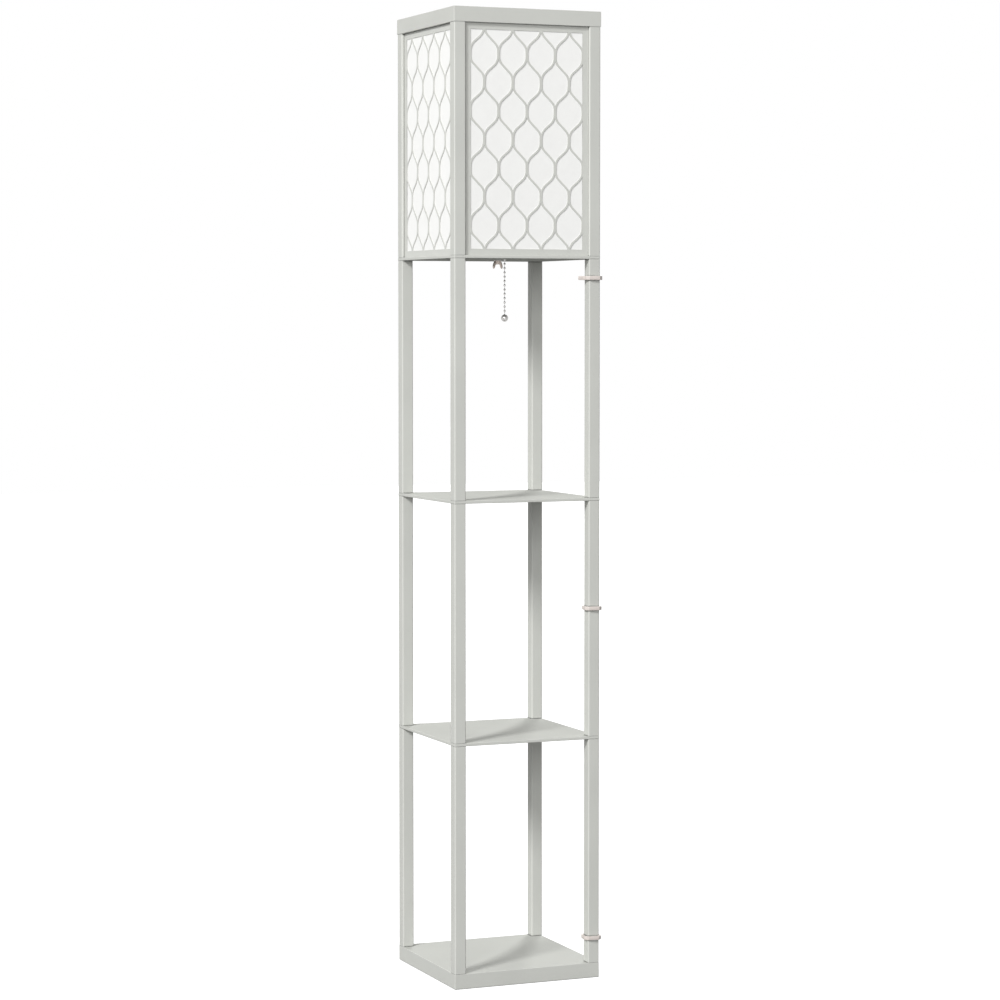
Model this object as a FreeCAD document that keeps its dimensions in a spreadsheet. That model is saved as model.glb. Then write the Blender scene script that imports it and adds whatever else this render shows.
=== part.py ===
import FreeCAD, Part
import math
import os

import Sketcher

# A floor lamp with three open shelf bays under a square lattice shade.
# +Z is up and the origin is the middle of the base's underside. Front is -Y, right is +X.

Vector = FreeCAD.Vector
UP = Vector(0, 0, 1)
QUARTER_TURN = 90

DOC = FreeCAD.newDocument("shelf_floor_lamp")
SHEET = DOC.addObject("Spreadsheet::Sheet", "sizes")

# Driving dimensions in millimetres, angles in degrees.
SIZES = [
    ("overall_width", 260, "side of the square cap, the widest board"),
    ("edge_break", 0.6, "chamfer on the edges of the boards"),
    ("base_thickness", 25, "base board"),
    ("shelf_thickness", 5, "lower shelf, middle shelf and lamp plate"),
    ("cap_thickness", 25, "cap frame"),
    ("cap_rail", 25, "width of the cap frame's rails"),
    ("lower_bay", 375, "length of the posts from base to lower shelf"),
    ("middle_bay", 391.5, "length of the posts from lower to middle shelf"),
    ("upper_bay", 393.5, "length of the posts from middle shelf to lamp plate"),
    ("shade_bay", 375, "length of the posts beside the shade"),
    ("post_side", 19.75, "side of the square posts"),
    ("cap_lip", 0.75, "how far the cap stands out over the posts and the other boards"),
    ("post_arris", 1.3, "chamfer along the posts' corners"),
    ("rod_radius", 3, "threaded rods, bolts and their shanks"),
    ("rod_clearance", 0.15, "radial room round the rods"),
    ("rod_grip", 18, "how deep a rod goes into a post"),
    ("rod_end_room", 2, "free length past the end of a rod"),
    ("bolt_head_radius", 6, "heads of the base bolts and cap screws"),
    ("bolt_head_height", 4, "heads of the base bolts and cap screws"),
    ("head_pocket_radius", 7, "pockets that take the heads"),
    ("base_pocket_depth", 10, "pockets under the base board"),
    ("cap_pocket_depth", 5, "pockets in the top of the cap"),
    ("panel_recess", 5, "from the posts' outer faces back to the lattice"),
    ("panel_thickness", 1, "thin lattice board"),
    ("diffuser_thickness", 1, "white sheet behind the lattice"),
    ("groove_depth", 3, "grooves in the shade posts"),
    ("groove_room", 0.2, "room for board and sheet in the grooves, both ways"),
    ("panel_border", 10.5, "plain border of the lattice board beside the posts"),
    ("panel_rail", 10.5, "plain border of the lattice board along its top and bottom"),
    ("lattice_pitch", 50, "from one column of nodes to the next alike"),
    ("lattice_period", 92.25, "height of one ogee cell with its node"),
    ("strand_width", 3.2, "width of the lattice strands"),
    ("node_width", 4.8, "width of two strands that run side by side"),
    ("curved_lean", 49.5, "steepest lean of the curved strands from upright"),
    ("curved_upright", 3.3, "upright stretch of a curved strand at its node"),
    ("straight_lean", 45.5, "lean of the straight strands from upright"),
    ("straight_upright", 4.6, "upright stretch of a straight strand at its node"),
    ("stud_head_height", 3, "hexagon head of the lamp holder's stud"),
    ("stud_head_radius", 5.5, "hexagon head of the lamp holder's stud"),
    ("stud_length", 7.5, "length of the stud below the lamp plate"),
    ("washer_radius", 6.5, "washer under the lamp plate"),
    ("washer_thickness", 1, "washer under the lamp plate"),
    ("nut_hub_height", 6.5, "hub of the wing nut"),
    ("nut_hub_radius", 5.6, "hub of the wing nut where it meets the washer"),
    ("nut_hub_taper", 0.8, "how much slimmer the hub is at its other end"),
    ("nut_wing_span", 21, "across both wings"),
    ("nut_wing_height", 14, "from the washer to the tips of the wings"),
    ("nut_wing_thickness", 3, "thickness of the wings"),
    ("nut_wing_root", 1.2, "from the washer to where the wings leave the hub"),
    ("nut_wing_tip", 3.5, "width of the wings at their tips"),
    ("nut_turn", 17, "direction of the wings, counter-clockwise from +X"),
    ("cup_radius", 20, "lower cup of the lamp holder"),
    ("cup_height", 30, "lower cup of the lamp holder"),
    ("holder_wall", 2, "wall of the cup and the shell"),
    ("cup_floor", 3, "floor of the cup"),
    ("shell_height", 34, "upper shell of the lamp holder above the cup"),
    ("shell_mouth_radius", 18.5, "outside of the shell at its mouth"),
    ("shell_skirt", 5, "how deep the shell goes into the cup"),
    ("shell_fit", 0.1, "gap between the shell's skirt and the cup"),
    ("shell_ledge_radius", 14, "ledge in the shell that the insulating disc lies on"),
    ("screw_radius", 13.25, "inside of the screw sleeve that takes the bulb's cap"),
    ("screw_wall", 0.5, "wall of the screw sleeve"),
    ("screw_depth", 24, "length of the screw sleeve"),
    ("block_thickness", 6, "insulating disc under the screw sleeve"),
    ("block_drop", 2, "from the cup's rim up to the disc's underside"),
    ("block_fit", 0.2, "gap between the disc and the shell"),
    ("cheek_gap", 10, "between the two cheeks that carry the switch"),
    ("cheek_thickness", 3, "thickness of the cheeks"),
    ("cheek_depth", 14, "cheeks from front to back"),
    ("cheek_height", 22, "cheeks below the disc"),
    ("pivot_drop", 6, "pivot pin below the disc"),
    ("pivot_radius", 1.5, "pivot pin of the switch lever"),
    ("pivot_clearance", 0.05, "radial running room of the lever on its pin"),
    ("lever_hub_radius", 3.6, "hub of the switch lever"),
    ("lever_arm", 14, "from the pivot down to the chain"),
    ("lever_thickness", 3, "switch lever"),
    ("lever_width", 4, "arm of the switch lever"),
    ("cam_radius", 4.8, "switch cam beside the lever"),
    ("cam_thickness", 2.6, "switch cam"),
    ("blade_thickness", 0.5, "contact strips"),
    ("blade_width", 5, "contact strips"),
    ("blade_gap", 0.5, "from the cam to the contact strip"),
    ("tab_pocket_radius", 8, "pocket in the disc that holds the centre contact"),
    ("tab_pocket_depth", 4.5, "pocket in the disc that holds the centre contact"),
    ("tab_rise", 4, "height of the centre contact"),
    ("tab_length", 10, "centre contact"),
    ("spring_radius", 3.4, "outside of the return spring"),
    ("spring_wall", 0.6, "wire of the return spring"),
    ("spring_gap", 0.3, "from the spring's ends to the lever and to the chain guide"),
    ("guide_reach", 8, "chain guide outside the cup"),
    ("guide_wall", 1.3, "wall of the chain guide"),
    ("guide_flare", 1.6, "how far the guide's mouth opens out"),
    ("guide_fit", 0.1, "gap round the guide in the cup's wall"),
    ("chain_clearance", 0.6, "radial room for the chain in its guides"),
    ("chain_forward", 30, "from the lamp's axis forward to the hanging chain"),
    ("bead_radius", 1.9, "beads of the pull chain"),
    ("bead_waist", 1, "radius of a bead at its two ends"),
    ("bead_pitch", 7.1, "from bead to bead"),
    ("link_side", 0.8, "wire between two beads"),
    ("chain_gap", 0.4, "free gap where two lengths of chain meet"),
    ("first_bead_drop", 7.2, "first bead below the lamp plate's underside"),
    ("guide_bead_place", 2, "bead in the chain guide, out from the cup's face"),
    ("ball_radius", 6, "ball at the end of the chain"),
    ("ball_drop", 97, "ball below the lamp plate's underside"),
    ("ferrule_wall", 1.2, "ring that lines the chain's hole in the plate"),
    ("ferrule_flange", 1.6, "how far the ring's flange reaches out"),
    ("ferrule_lip", 0.8, "thickness of the ring's flange"),
    ("ferrule_fit", 0.1, "gap round the ring in the plate"),
    ("grommet_bore", 4, "radius of the cord's way through the grommet"),
    ("grommet_wall", 2, "wall of the grommet"),
    ("grommet_flange", 2, "how far the grommet's flange reaches out"),
    ("grommet_lip", 1.5, "thickness of the grommet's flange"),
    ("grommet_inset", 32, "from the plate's front and right edges to the grommet's middle"),
    ("inlet_radius", 4, "cord inlet in the back of the cup"),
    ("clip_reach", 14.6, "from the post's middle to the clip's four long sides"),
    ("clip_corner_reach", 16.85, "from the post's middle to its four short sides"),
    ("clip_wall", 3.4, "wall of the cord clips"),
    ("clip_height", 6.5, "height of the cord clips"),
    ("clip_prong", 8.5, "length of the two prongs that hold the cord"),
    ("clip_prong_wall", 1.6, "thickness of the prongs"),
    ("clip_cord_gap", 5, "between the prongs"),
    ("clip_turn", -7.5, "how the clips sit turned on their post"),
    ("clip_lower_place", 67, "middle of the lower clip above the floor"),
    ("clip_middle_place", 618, "middle of the middle clip above the floor"),
    ("clip_upper_place", 1164, "middle of the upper clip above the floor"),
]

HEXAGON = 6
FASTENER_SIDES = 6      # hidden rods, shanks and their holes are kept light as six-sided bars
BEAD_SIDES = 6
RING_SIDES = 16         # washers, rings and other small round things
CORNERS = ["front_left", "front_right", "back_right", "back_left"]
SIDES = ["front", "right", "back", "left"]
POINT_CHORDS = 1        # chords that draw a strand's bend at the point of a cell
NODE_CHORDS = 2         # chords that draw its bend at the node beside a cell
BALL_RINGS = 6          # bands of the ball at the chain's end
BEAD_BAND = 1 / 3       # share of a bead's length over which it keeps its full radius

for row, (alias, value, meaning) in enumerate(SIZES, start=1):
    SHEET.set(f"A{row}", alias)
    SHEET.set(f"B{row}", str(value))
    SHEET.set(f"C{row}", meaning)
    SHEET.setAlias(f"B{row}", alias)
DOC.recompute()

# Places worked out from the sheet, kept as expressions that the features use too.
HALF = "(sizes.overall_width / 2)"
POST_OUTER = f"({HALF} - sizes.cap_lip)"
POST_CENTRE = f"({POST_OUTER} - sizes.post_side / 2)"
POST_INNER = f"({POST_OUTER} - sizes.post_side)"
BASE_TOP = "sizes.base_thickness"
LOWER_SHELF = f"({BASE_TOP} + sizes.lower_bay)"
LOWER_TOP = f"({LOWER_SHELF} + sizes.shelf_thickness)"
MIDDLE_SHELF = f"({LOWER_TOP} + sizes.middle_bay)"
MIDDLE_TOP = f"({MIDDLE_SHELF} + sizes.shelf_thickness)"
PLATE = f"({MIDDLE_TOP} + sizes.upper_bay)"
PLATE_TOP = f"({PLATE} + sizes.shelf_thickness)"
CAP = f"({PLATE_TOP} + sizes.shade_bay)"
ROD_HOLE = "(sizes.rod_radius + sizes.rod_clearance)"


def number(expression):
    """The value in millimetres of an expression on the sheet."""
    return float(SHEET.evalExpression(expression))


# ---------------------------------------------------------------- how features are made

def new_body(label, x="0", y="0", z="0", turn=0, tilt=None):
    """An empty body, placed by expressions and turned about Z, or set by a rotation."""
    piece = DOC.addObject("PartDesign::Body", label)
    piece.Label = label
    piece.Placement.Rotation = tilt or FreeCAD.Rotation(UP, turn)
    for axis, place in (("x", x), ("y", y), ("z", z)):
        piece.setExpression(f".Placement.Base.{axis}", place)
    return piece


def origin_part(piece, role):
    """The origin plane or axis of a body that has this role."""
    return [part for part in piece.Origin.OriginFeatures if part.Role == role][0]


def new_sketch(piece, name, plane="XY_Plane", lift="0"):
    """A sketch on one of the body's own origin planes, lifted along its normal."""
    sketch = piece.newObject("Sketcher::SketchObject", name)
    sketch.AttachmentSupport = (origin_part(piece, plane), [""])
    sketch.MapMode = "FlatFace"
    sketch.setExpression(".AttachmentOffset.Base.z", lift)
    return sketch


def pin_coordinate(sketch, kind, line, expression):
    """Hold the start of a line at a distance from the sketch's origin."""
    place = number(expression)
    if abs(place) < 1e-9:
        axis = -2 if kind == "DistanceX" else -1
        sketch.addConstraint(Sketcher.Constraint("PointOnObject", line, 1, axis))
        return
    index = sketch.addConstraint(Sketcher.Constraint(kind, -1, 1, line, 1, place))
    name = f"{kind}_{line}"
    sketch.renameConstraint(index, name)
    sketch.setExpression(f"Constraints.{name}", expression)


def outline(sketch, corners):
    """A closed outline of straight lines whose corners are pairs of expressions."""
    points = [Vector(number(x), number(y), 0) for x, y in corners]
    first = sketch.GeometryCount
    count = len(points)
    for index in range(count):
        sketch.addGeometry(Part.LineSegment(points[index], points[(index + 1) % count]), False)
    for index in range(count):
        following = first + (index + 1) % count
        sketch.addConstraint(Sketcher.Constraint("Coincident", first + index, 2, following, 1))
    for index, (x, y) in enumerate(corners):
        pin_coordinate(sketch, "DistanceX", first + index, x)
        pin_coordinate(sketch, "DistanceY", first + index, y)


def rectangle(half_width, half_depth):
    """The corners of a rectangle about the origin."""
    return [(f"-{half_width}", f"-{half_depth}"), (half_width, f"-{half_depth}"),
            (half_width, half_depth), (f"-{half_width}", half_depth)]


def pad(piece, sketch, length):
    """The solid that a sketch sweeps along its normal."""
    feature = piece.newObject("PartDesign::Pad", f"{sketch.Name}_pad")
    feature.Profile = sketch
    feature.setExpression("Length", length)
    sketch.Visibility = False
    DOC.recompute()
    return feature


def revolve(piece, corners):
    """A turned solid: its half section in the XZ plane, spun about the body's Z axis."""
    sketch = new_sketch(piece, "section", "XZ_Plane")
    outline(sketch, corners)
    feature = piece.newObject("PartDesign::Revolution", "turned")
    feature.Profile = sketch
    feature.ReferenceAxis = (sketch, ["V_Axis"])
    feature.Angle = 360
    sketch.Visibility = False
    DOC.recompute()
    return feature


def primitive(piece, kind, sizes, x="0", y="0", z="0", rotation=None):
    """A box, prism, cylinder, cone or sphere of a body, added or subtracted."""
    feature = piece.newObject(f"PartDesign::{kind}", kind)
    for name, expression in sizes.items():
        if isinstance(expression, int):
            setattr(feature, name, expression)
        else:
            feature.setExpression(name, expression)
    if rotation:
        feature.Placement.Rotation = rotation
    for axis, place in (("x", x), ("y", y), ("z", z)):
        feature.setExpression(f".Placement.Base.{axis}", place)
    DOC.recompute()
    return feature


def four_times(piece, features):
    """Repeat features at the four corners, about the body's Z axis."""
    pattern = piece.newObject("PartDesign::PolarPattern", "corners")
    pattern.Originals = features
    pattern.Axis = (origin_part(piece, "Z_Axis"), [""])
    pattern.Angle = 360
    pattern.Occurrences = len(CORNERS)
    piece.Tip = pattern
    DOC.recompute()
    return pattern


def chamfer(piece, base, size, chosen):
    """Break the edges of a feature that a test chooses."""
    names = [f"Edge{index}" for index, edge in enumerate(base.Shape.Edges, start=1) if chosen(edge)]
    feature = piece.newObject("PartDesign::Chamfer", "arris")
    feature.Base = (base, names)
    feature.setExpression("Size", size)
    piece.Tip = feature
    DOC.recompute()
    return feature


def is_upright(edge):
    """True for an edge along Z."""
    box = edge.BoundBox
    return box.ZLength > box.XLength + box.YLength


# ---------------------------------------------------------------- boards

def board(label, z, thickness, outer=POST_OUTER, inner=None):
    """A square board, flush with the posts unless told, with a square window if asked.

    Its edges are broken by a fine chamfer.
    """
    piece = new_body(label, z=z)
    sketch = new_sketch(piece, f"{label}_plan")
    outline(sketch, rectangle(outer, outer))
    if inner:
        outline(sketch, rectangle(inner, inner))
    slab = pad(piece, sketch, thickness)
    chamfer(piece, slab, "sizes.edge_break", lambda edge: True)
    return piece


def corner_hole(piece, radius, depth, z="0"):
    """The first of the four rod holes of a board, in its back right corner."""
    sizes = {"Polygon": FASTENER_SIDES, "Circumradius": radius, "Height": depth}
    return primitive(piece, "SubtractivePrism", sizes, POST_CENTRE, POST_CENTRE, z)


def ring_hole(piece, radius, depth, **place):
    """A small round hole, kept light as a many-sided one."""
    sizes = {"Polygon": RING_SIDES, "Circumradius": radius, "Height": depth}
    return primitive(piece, "SubtractivePrism", sizes, **place)


def base_board():
    """The heavy base: four rod holes, each with a pocket for the bolt's head underneath."""
    piece = board("base_board", "0", "sizes.base_thickness")
    hole = corner_hole(piece, ROD_HOLE, "sizes.base_thickness")
    pocket = corner_hole(piece, "sizes.head_pocket_radius", "sizes.base_pocket_depth")
    four_times(piece, [hole, pocket])
    return piece


def shelf(label, z):
    """A thin shelf, clamped between two tiers of posts by the rods through its corners."""
    piece = board(label, z, "sizes.shelf_thickness")
    four_times(piece, [corner_hole(piece, ROD_HOLE, "sizes.shelf_thickness")])
    return piece


def lamp_plate():
    """The plate under the shade, with the holes for the stud, the chain and the cord."""
    piece = shelf("lamp_plate", PLATE)
    depth = "sizes.shelf_thickness"
    ring_hole(piece, ROD_HOLE, depth)
    ring_hole(piece, f"{FERRULE_OUTER} + sizes.ferrule_fit", depth, y="-sizes.chain_forward")
    ring_hole(piece, GROMMET_OUTER, depth, x=GROMMET_PLACE, y=f"-{GROMMET_PLACE}")
    return piece


def cap_frame():
    """The square frame on top of the posts: its window lets heat out and a hand in."""
    piece = board("cap_frame", CAP, "sizes.cap_thickness", HALF, f"({HALF} - sizes.cap_rail)")
    hole = corner_hole(piece, ROD_HOLE, "sizes.cap_thickness")
    pocket = corner_hole(piece, "sizes.head_pocket_radius", "sizes.cap_pocket_depth",
                         "sizes.cap_thickness - sizes.cap_pocket_depth")
    four_times(piece, [hole, pocket])
    return piece


# ---------------------------------------------------------------- posts and what joins them

def post(tier, corner, z, length, grooved=False):
    """A square post with a blind rod hole in each end.

    A shade post has two grooves, in the faces that look along the two sides of the shade.
    The section is drawn for the front left corner and turned to the others.
    """
    turn = QUARTER_TURN * CORNERS.index(corner)
    across = "-" if corner.endswith("left") else ""
    along = "-" if corner.startswith("front") else ""
    piece = new_body(f"{tier}_post_{corner}", f"{across}{POST_CENTRE}", f"{along}{POST_CENTRE}",
                     z, turn)
    sketch = new_sketch(piece, f"{tier}_{corner}_section")
    outline(sketch, rectangle("(sizes.post_side / 2)", "(sizes.post_side / 2)"))
    bar = pad(piece, sketch, length)
    chamfer(piece, bar, "sizes.post_arris", is_upright)
    hole = {"Polygon": FASTENER_SIDES, "Circumradius": ROD_HOLE,
            "Height": "sizes.rod_grip + sizes.rod_end_room"}
    primitive(piece, "SubtractivePrism", hole)
    primitive(piece, "SubtractivePrism", hole,
              z=f"{length} - sizes.rod_grip - sizes.rod_end_room")
    if grooved:
        width = "sizes.panel_thickness + sizes.diffuser_thickness + sizes.groove_room"
        floor = "sizes.post_side / 2 - sizes.groove_depth"
        start = "sizes.panel_recess - sizes.post_side / 2"
        primitive(piece, "SubtractiveBox",
                  {"Length": "sizes.groove_depth", "Width": width, "Height": length},
                  x=floor, y=start)
        primitive(piece, "SubtractiveBox",
                  {"Length": width, "Width": "sizes.groove_depth", "Height": length},
                  x=start, y=floor)
    return piece


def rods(label, board_bottom):
    """Four headless threaded rods, half in the posts below a shelf and half in those above."""
    piece = new_body(label, z=board_bottom)
    sizes = {"Polygon": FASTENER_SIDES, "Circumradius": "sizes.rod_radius",
             "Height": "2 * sizes.rod_grip + sizes.shelf_thickness"}
    rod = primitive(piece, "AdditivePrism", sizes, POST_CENTRE, POST_CENTRE, "-sizes.rod_grip")
    four_times(piece, [rod])
    return piece


def headed_bolts(label, seat, shank, downward):
    """Four bolts with hexagon heads that seat in a board's pockets."""
    piece = new_body(label, z=seat)
    head = {"Polygon": HEXAGON, "Circumradius": "sizes.bolt_head_radius",
            "Height": "sizes.bolt_head_height"}
    bar = {"Polygon": FASTENER_SIDES, "Circumradius": "sizes.rod_radius", "Height": shank}
    head_z = "0" if downward else "-sizes.bolt_head_height"
    shank_z = f"-({shank})" if downward else "0"
    features = [primitive(piece, "AdditivePrism", head, POST_CENTRE, POST_CENTRE, head_z),
                primitive(piece, "AdditivePrism", bar, POST_CENTRE, POST_CENTRE, shank_z)]
    four_times(piece, features)
    return piece


# ---------------------------------------------------------------- shade

PANEL_FACE = f"({POST_OUTER} - sizes.panel_recess)"
PANEL_HALF_WIDTH = f"({POST_INNER} + sizes.groove_depth - sizes.groove_room)"
PANEL_HEIGHT = "(sizes.shade_bay - sizes.groove_room)"


def strand_edge(half_pitch, half_period, lean, upright, strand, merged):
    """One inner edge of an ogee cell, from its lower point to its right-hand node.

    The cell's middle is (0, 0). The strand leaves the node below the cell upright, bends to its
    lean, runs straight, and bends back upright at the node on the right. Both bends have one
    radius, which follows from the distance to cover: with no straight run at all it would be
    (rise - travel / tan lean) / (2 tan (lean / 2)).
    """
    lean = math.radians(lean)
    beside = (merged - strand) / 2              # from a column to the middle of its strand
    travel = half_pitch - 2 * beside
    rise = half_period - 2 * upright
    radius = (rise - travel / math.tan(lean)) / (2 * math.tan(lean / 2))
    outside = radius + strand / 2
    inside = radius - strand / 2
    begin = math.acos(1 - (strand / 2 - beside) / outside)
    points = []
    for step in range(1, POINT_CHORDS + 1):
        angle = begin + (lean - begin) * step / POINT_CHORDS
        points.append((beside + radius - outside * math.cos(angle),
                       upright - half_period + outside * math.sin(angle)))
    for step in range(NODE_CHORDS + 1):
        angle = lean * (1 - step / NODE_CHORDS)
        points.append((half_pitch - beside - radius + inside * math.cos(angle),
                       -upright - inside * math.sin(angle)))
    tip = upright - half_period + outside * math.sin(begin)
    return tip, points


def ogee_cell():
    """The outline of one opening of the lattice about (0, 0), as points in its plane.

    Its lower right and upper left edges are curved strands, and the other two are straight ones,
    so half a turn carries the outline into itself.
    """
    half_pitch = number("sizes.lattice_pitch / 2")
    half_period = number("sizes.lattice_period / 2")
    strand = number("sizes.strand_width")
    merged = number("sizes.node_width")
    curved_tip, curved = strand_edge(half_pitch, half_period, number("sizes.curved_lean"),
                                     number("sizes.curved_upright"), strand, merged)
    straight_tip, straight = strand_edge(half_pitch, half_period, number("sizes.straight_lean"),
                                         number("sizes.straight_upright"), strand, merged)
    tip = (curved_tip + straight_tip) / 2
    half = [(0, tip)] + curved + [(x, -z) for x, z in reversed(straight)]
    return half + [(-x, -z) for x, z in half]


def lattice_openings(depth):
    """All openings of one panel, clipped to its border, as a compound of prisms."""
    pitch = number("sizes.lattice_pitch")
    period = number("sizes.lattice_period")
    half_wide = number(f"{POST_INNER} - sizes.panel_border")
    half_high = number("sizes.shade_bay / 2 - sizes.panel_rail")
    middle = number(f"{PLATE_TOP} + sizes.shade_bay / 2")
    face = -number(PANEL_FACE)
    start = face - depth                        # the prisms stand proud of both sides
    length = 3 * depth
    window = Part.makeBox(2 * half_wide, length, 2 * half_high,
                          Vector(-half_wide, start, middle - half_high))
    cell = ogee_cell()
    columns = math.ceil(2 * half_wide / pitch)
    rows = math.ceil(2 * half_high / period)
    prisms = []
    for column in range(-columns, columns + 1):
        for row in range(-rows, rows + 1):
            x = column * pitch / 2
            z = middle + (row + (column % 2) / 2) * period
            if abs(x) > half_wide + pitch / 2 or abs(z - middle) > half_high + period / 2:
                continue
            corners = [Vector(x + dx, start, z + dz) for dx, dz in cell]
            prism = Part.Face(Part.makePolygon(corners + corners[:1]))
            prism = prism.extrude(Vector(0, length, 0)).common(window)
            prisms.extend(prism.Solids)
    return Part.makeCompound(prisms)


def lattice_panel(side):
    """A board cut out to the ogee lattice. It stands in the grooves of two shade posts."""
    turn = QUARTER_TURN * SIDES.index(side)
    plate = DOC.addObject("Part::Box", f"plate_{side}")
    plate.setExpression("Length", f"2 * {PANEL_HALF_WIDTH}")
    plate.setExpression("Width", "sizes.panel_thickness")
    plate.setExpression("Height", PANEL_HEIGHT)
    plate.setExpression(".Placement.Base.x", f"-{PANEL_HALF_WIDTH}")
    plate.setExpression(".Placement.Base.y", f"-{PANEL_FACE}")
    plate.setExpression(".Placement.Base.z", PLATE_TOP)
    openings = DOC.addObject("Part::Feature", f"openings_{side}")
    openings.Shape = lattice_openings(number("sizes.panel_thickness"))
    panel = DOC.addObject("Part::Cut", f"lattice_panel_{side}")
    panel.Label = f"lattice_panel_{side}"
    panel.Base = plate
    panel.Tool = openings
    panel.Placement = FreeCAD.Placement(Vector(), FreeCAD.Rotation(UP, turn))
    return panel


def diffuser(side):
    """The white sheet that stands behind a lattice panel in the same grooves."""
    piece = new_body(f"diffuser_{side}", turn=QUARTER_TURN * SIDES.index(side))
    primitive(piece, "AdditiveBox",
              {"Length": f"2 * {PANEL_HALF_WIDTH}", "Width": "sizes.diffuser_thickness",
               "Height": PANEL_HEIGHT},
              f"-{PANEL_HALF_WIDTH}", f"-{PANEL_FACE} + sizes.panel_thickness", PLATE_TOP)
    return piece


# ---------------------------------------------------------------- lamp holder

CUP_INNER = "(sizes.cup_radius - sizes.holder_wall)"
DISC = f"({PLATE_TOP} + sizes.cup_height + sizes.block_drop)"
DISC_TOP = f"({DISC} + sizes.block_thickness)"
SHELL_INNER = f"({CUP_INNER} - sizes.shell_fit - sizes.holder_wall)"
PIVOT = f"({DISC} - sizes.pivot_drop)"
CHAIN_LINE = f"({PIVOT} - sizes.lever_arm)"
CHAIN_BORE = "(sizes.bead_radius + sizes.chain_clearance)"
GROMMET_OUTER = "(sizes.grommet_bore + sizes.grommet_wall)"
GROMMET_PLACE = f"({HALF} - sizes.grommet_inset)"
GUIDE_OUTER = f"({CHAIN_BORE} + sizes.guide_wall)"
FERRULE_OUTER = f"({CHAIN_BORE} + sizes.ferrule_wall)"
ALONG_X = FreeCAD.Rotation(Vector(0, 1, 0), QUARTER_TURN)
FORWARD = FreeCAD.Rotation(Vector(1, 0, 0), QUARTER_TURN)


def holder_cup():
    """The lower cup of the lamp holder, open to the chain in front and the cord behind."""
    piece = new_body("holder_cup", z=PLATE_TOP)
    top = "sizes.cup_height"
    revolve(piece, [(ROD_HOLE, "0"), ("sizes.cup_radius", "0"), ("sizes.cup_radius", top),
                    (CUP_INNER, top), (CUP_INNER, "sizes.cup_floor"),
                    (ROD_HOLE, "sizes.cup_floor")])
    height = f"{CHAIN_LINE} - {PLATE_TOP}"
    ring_hole(piece, f"{GUIDE_OUTER} + sizes.guide_fit", "sizes.cup_radius", z=height,
              rotation=FORWARD)
    ring_hole(piece, "sizes.inlet_radius", "sizes.cup_radius", y="sizes.cup_radius", z=height,
              rotation=FORWARD)
    return piece


def holder_shell():
    """The upper shell: its skirt stands inside the cup's rim, and its ledge bears the disc."""
    piece = new_body("holder_shell", z=f"{PLATE_TOP} + sizes.cup_height")
    skirt = f"({CUP_INNER} - sizes.shell_fit)"
    ledge = "sizes.shell_ledge_radius"
    revolve(piece, [(ledge, "-sizes.shell_skirt"), (skirt, "-sizes.shell_skirt"), (skirt, "0"),
                    ("sizes.cup_radius", "0"), ("sizes.shell_mouth_radius", "sizes.shell_height"),
                    (SHELL_INNER, "sizes.shell_height"), (SHELL_INNER, "sizes.block_drop"),
                    (ledge, "sizes.block_drop")])
    return piece


def switch_block():
    """The insulating disc on the shell's ledge, with two cheeks below that carry the switch."""
    piece = new_body("switch_block", z=DISC)
    disc = {"Radius": f"{SHELL_INNER} - sizes.block_fit", "Height": "sizes.block_thickness"}
    primitive(piece, "AdditiveCylinder", disc)
    cheek = {"Length": "sizes.cheek_thickness", "Width": "sizes.cheek_depth",
             "Height": "sizes.cheek_height"}
    for place in ("sizes.cheek_gap / 2", "-sizes.cheek_gap / 2 - sizes.cheek_thickness"):
        primitive(piece, "AdditiveBox", cheek, place, "-sizes.cheek_depth / 2",
                  "-sizes.cheek_height")
    ring_hole(piece, "sizes.pivot_radius", "sizes.cheek_gap + 2 * sizes.cheek_thickness",
              x="-sizes.cheek_gap / 2 - sizes.cheek_thickness", z="-sizes.pivot_drop",
              rotation=ALONG_X)
    ring_hole(piece, "sizes.tab_pocket_radius", "sizes.tab_pocket_depth",
              z="sizes.block_thickness - sizes.tab_pocket_depth")
    return piece


def pivot_pin():
    """The pin through both cheeks that the lever turns on."""
    piece = new_body("pivot_pin", z=PIVOT, x="-sizes.cheek_gap / 2 - sizes.cheek_thickness",
                     tilt=ALONG_X)
    primitive(piece, "AdditivePrism",
              {"Polygon": RING_SIDES, "Circumradius": "sizes.pivot_radius",
               "Height": "sizes.cheek_gap + 2 * sizes.cheek_thickness"})
    return piece


def switch_lever():
    """The lever that the chain pulls forward: a hub on the pin and an arm down to the chain."""
    piece = new_body("switch_lever", z=PIVOT, x="-sizes.lever_thickness / 2", tilt=ALONG_X)
    primitive(piece, "AdditivePrism",
              {"Polygon": RING_SIDES, "Circumradius": "sizes.lever_hub_radius",
               "Height": "sizes.lever_thickness"})
    primitive(piece, "AdditiveBox",
              {"Length": "sizes.lever_arm + sizes.bead_radius", "Width": "sizes.lever_width",
               "Height": "sizes.lever_thickness"}, y="-sizes.lever_width / 2")
    primitive(piece, "SubtractiveCylinder",
              {"Radius": "sizes.pivot_radius + sizes.pivot_clearance",
               "Height": "sizes.lever_thickness"})
    return piece


def switch_cam():
    """The cam on the lever's side that pushes the contact strip."""
    piece = new_body("switch_cam", z=PIVOT, x="sizes.lever_thickness / 2", tilt=ALONG_X)
    primitive(piece, "AdditivePrism",
              {"Polygon": FASTENER_SIDES, "Circumradius": "sizes.cam_radius",
               "Height": "sizes.cam_thickness"})
    primitive(piece, "SubtractiveCylinder",
              {"Radius": "sizes.pivot_radius + sizes.pivot_clearance",
               "Height": "sizes.cam_thickness"})
    return piece


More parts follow.
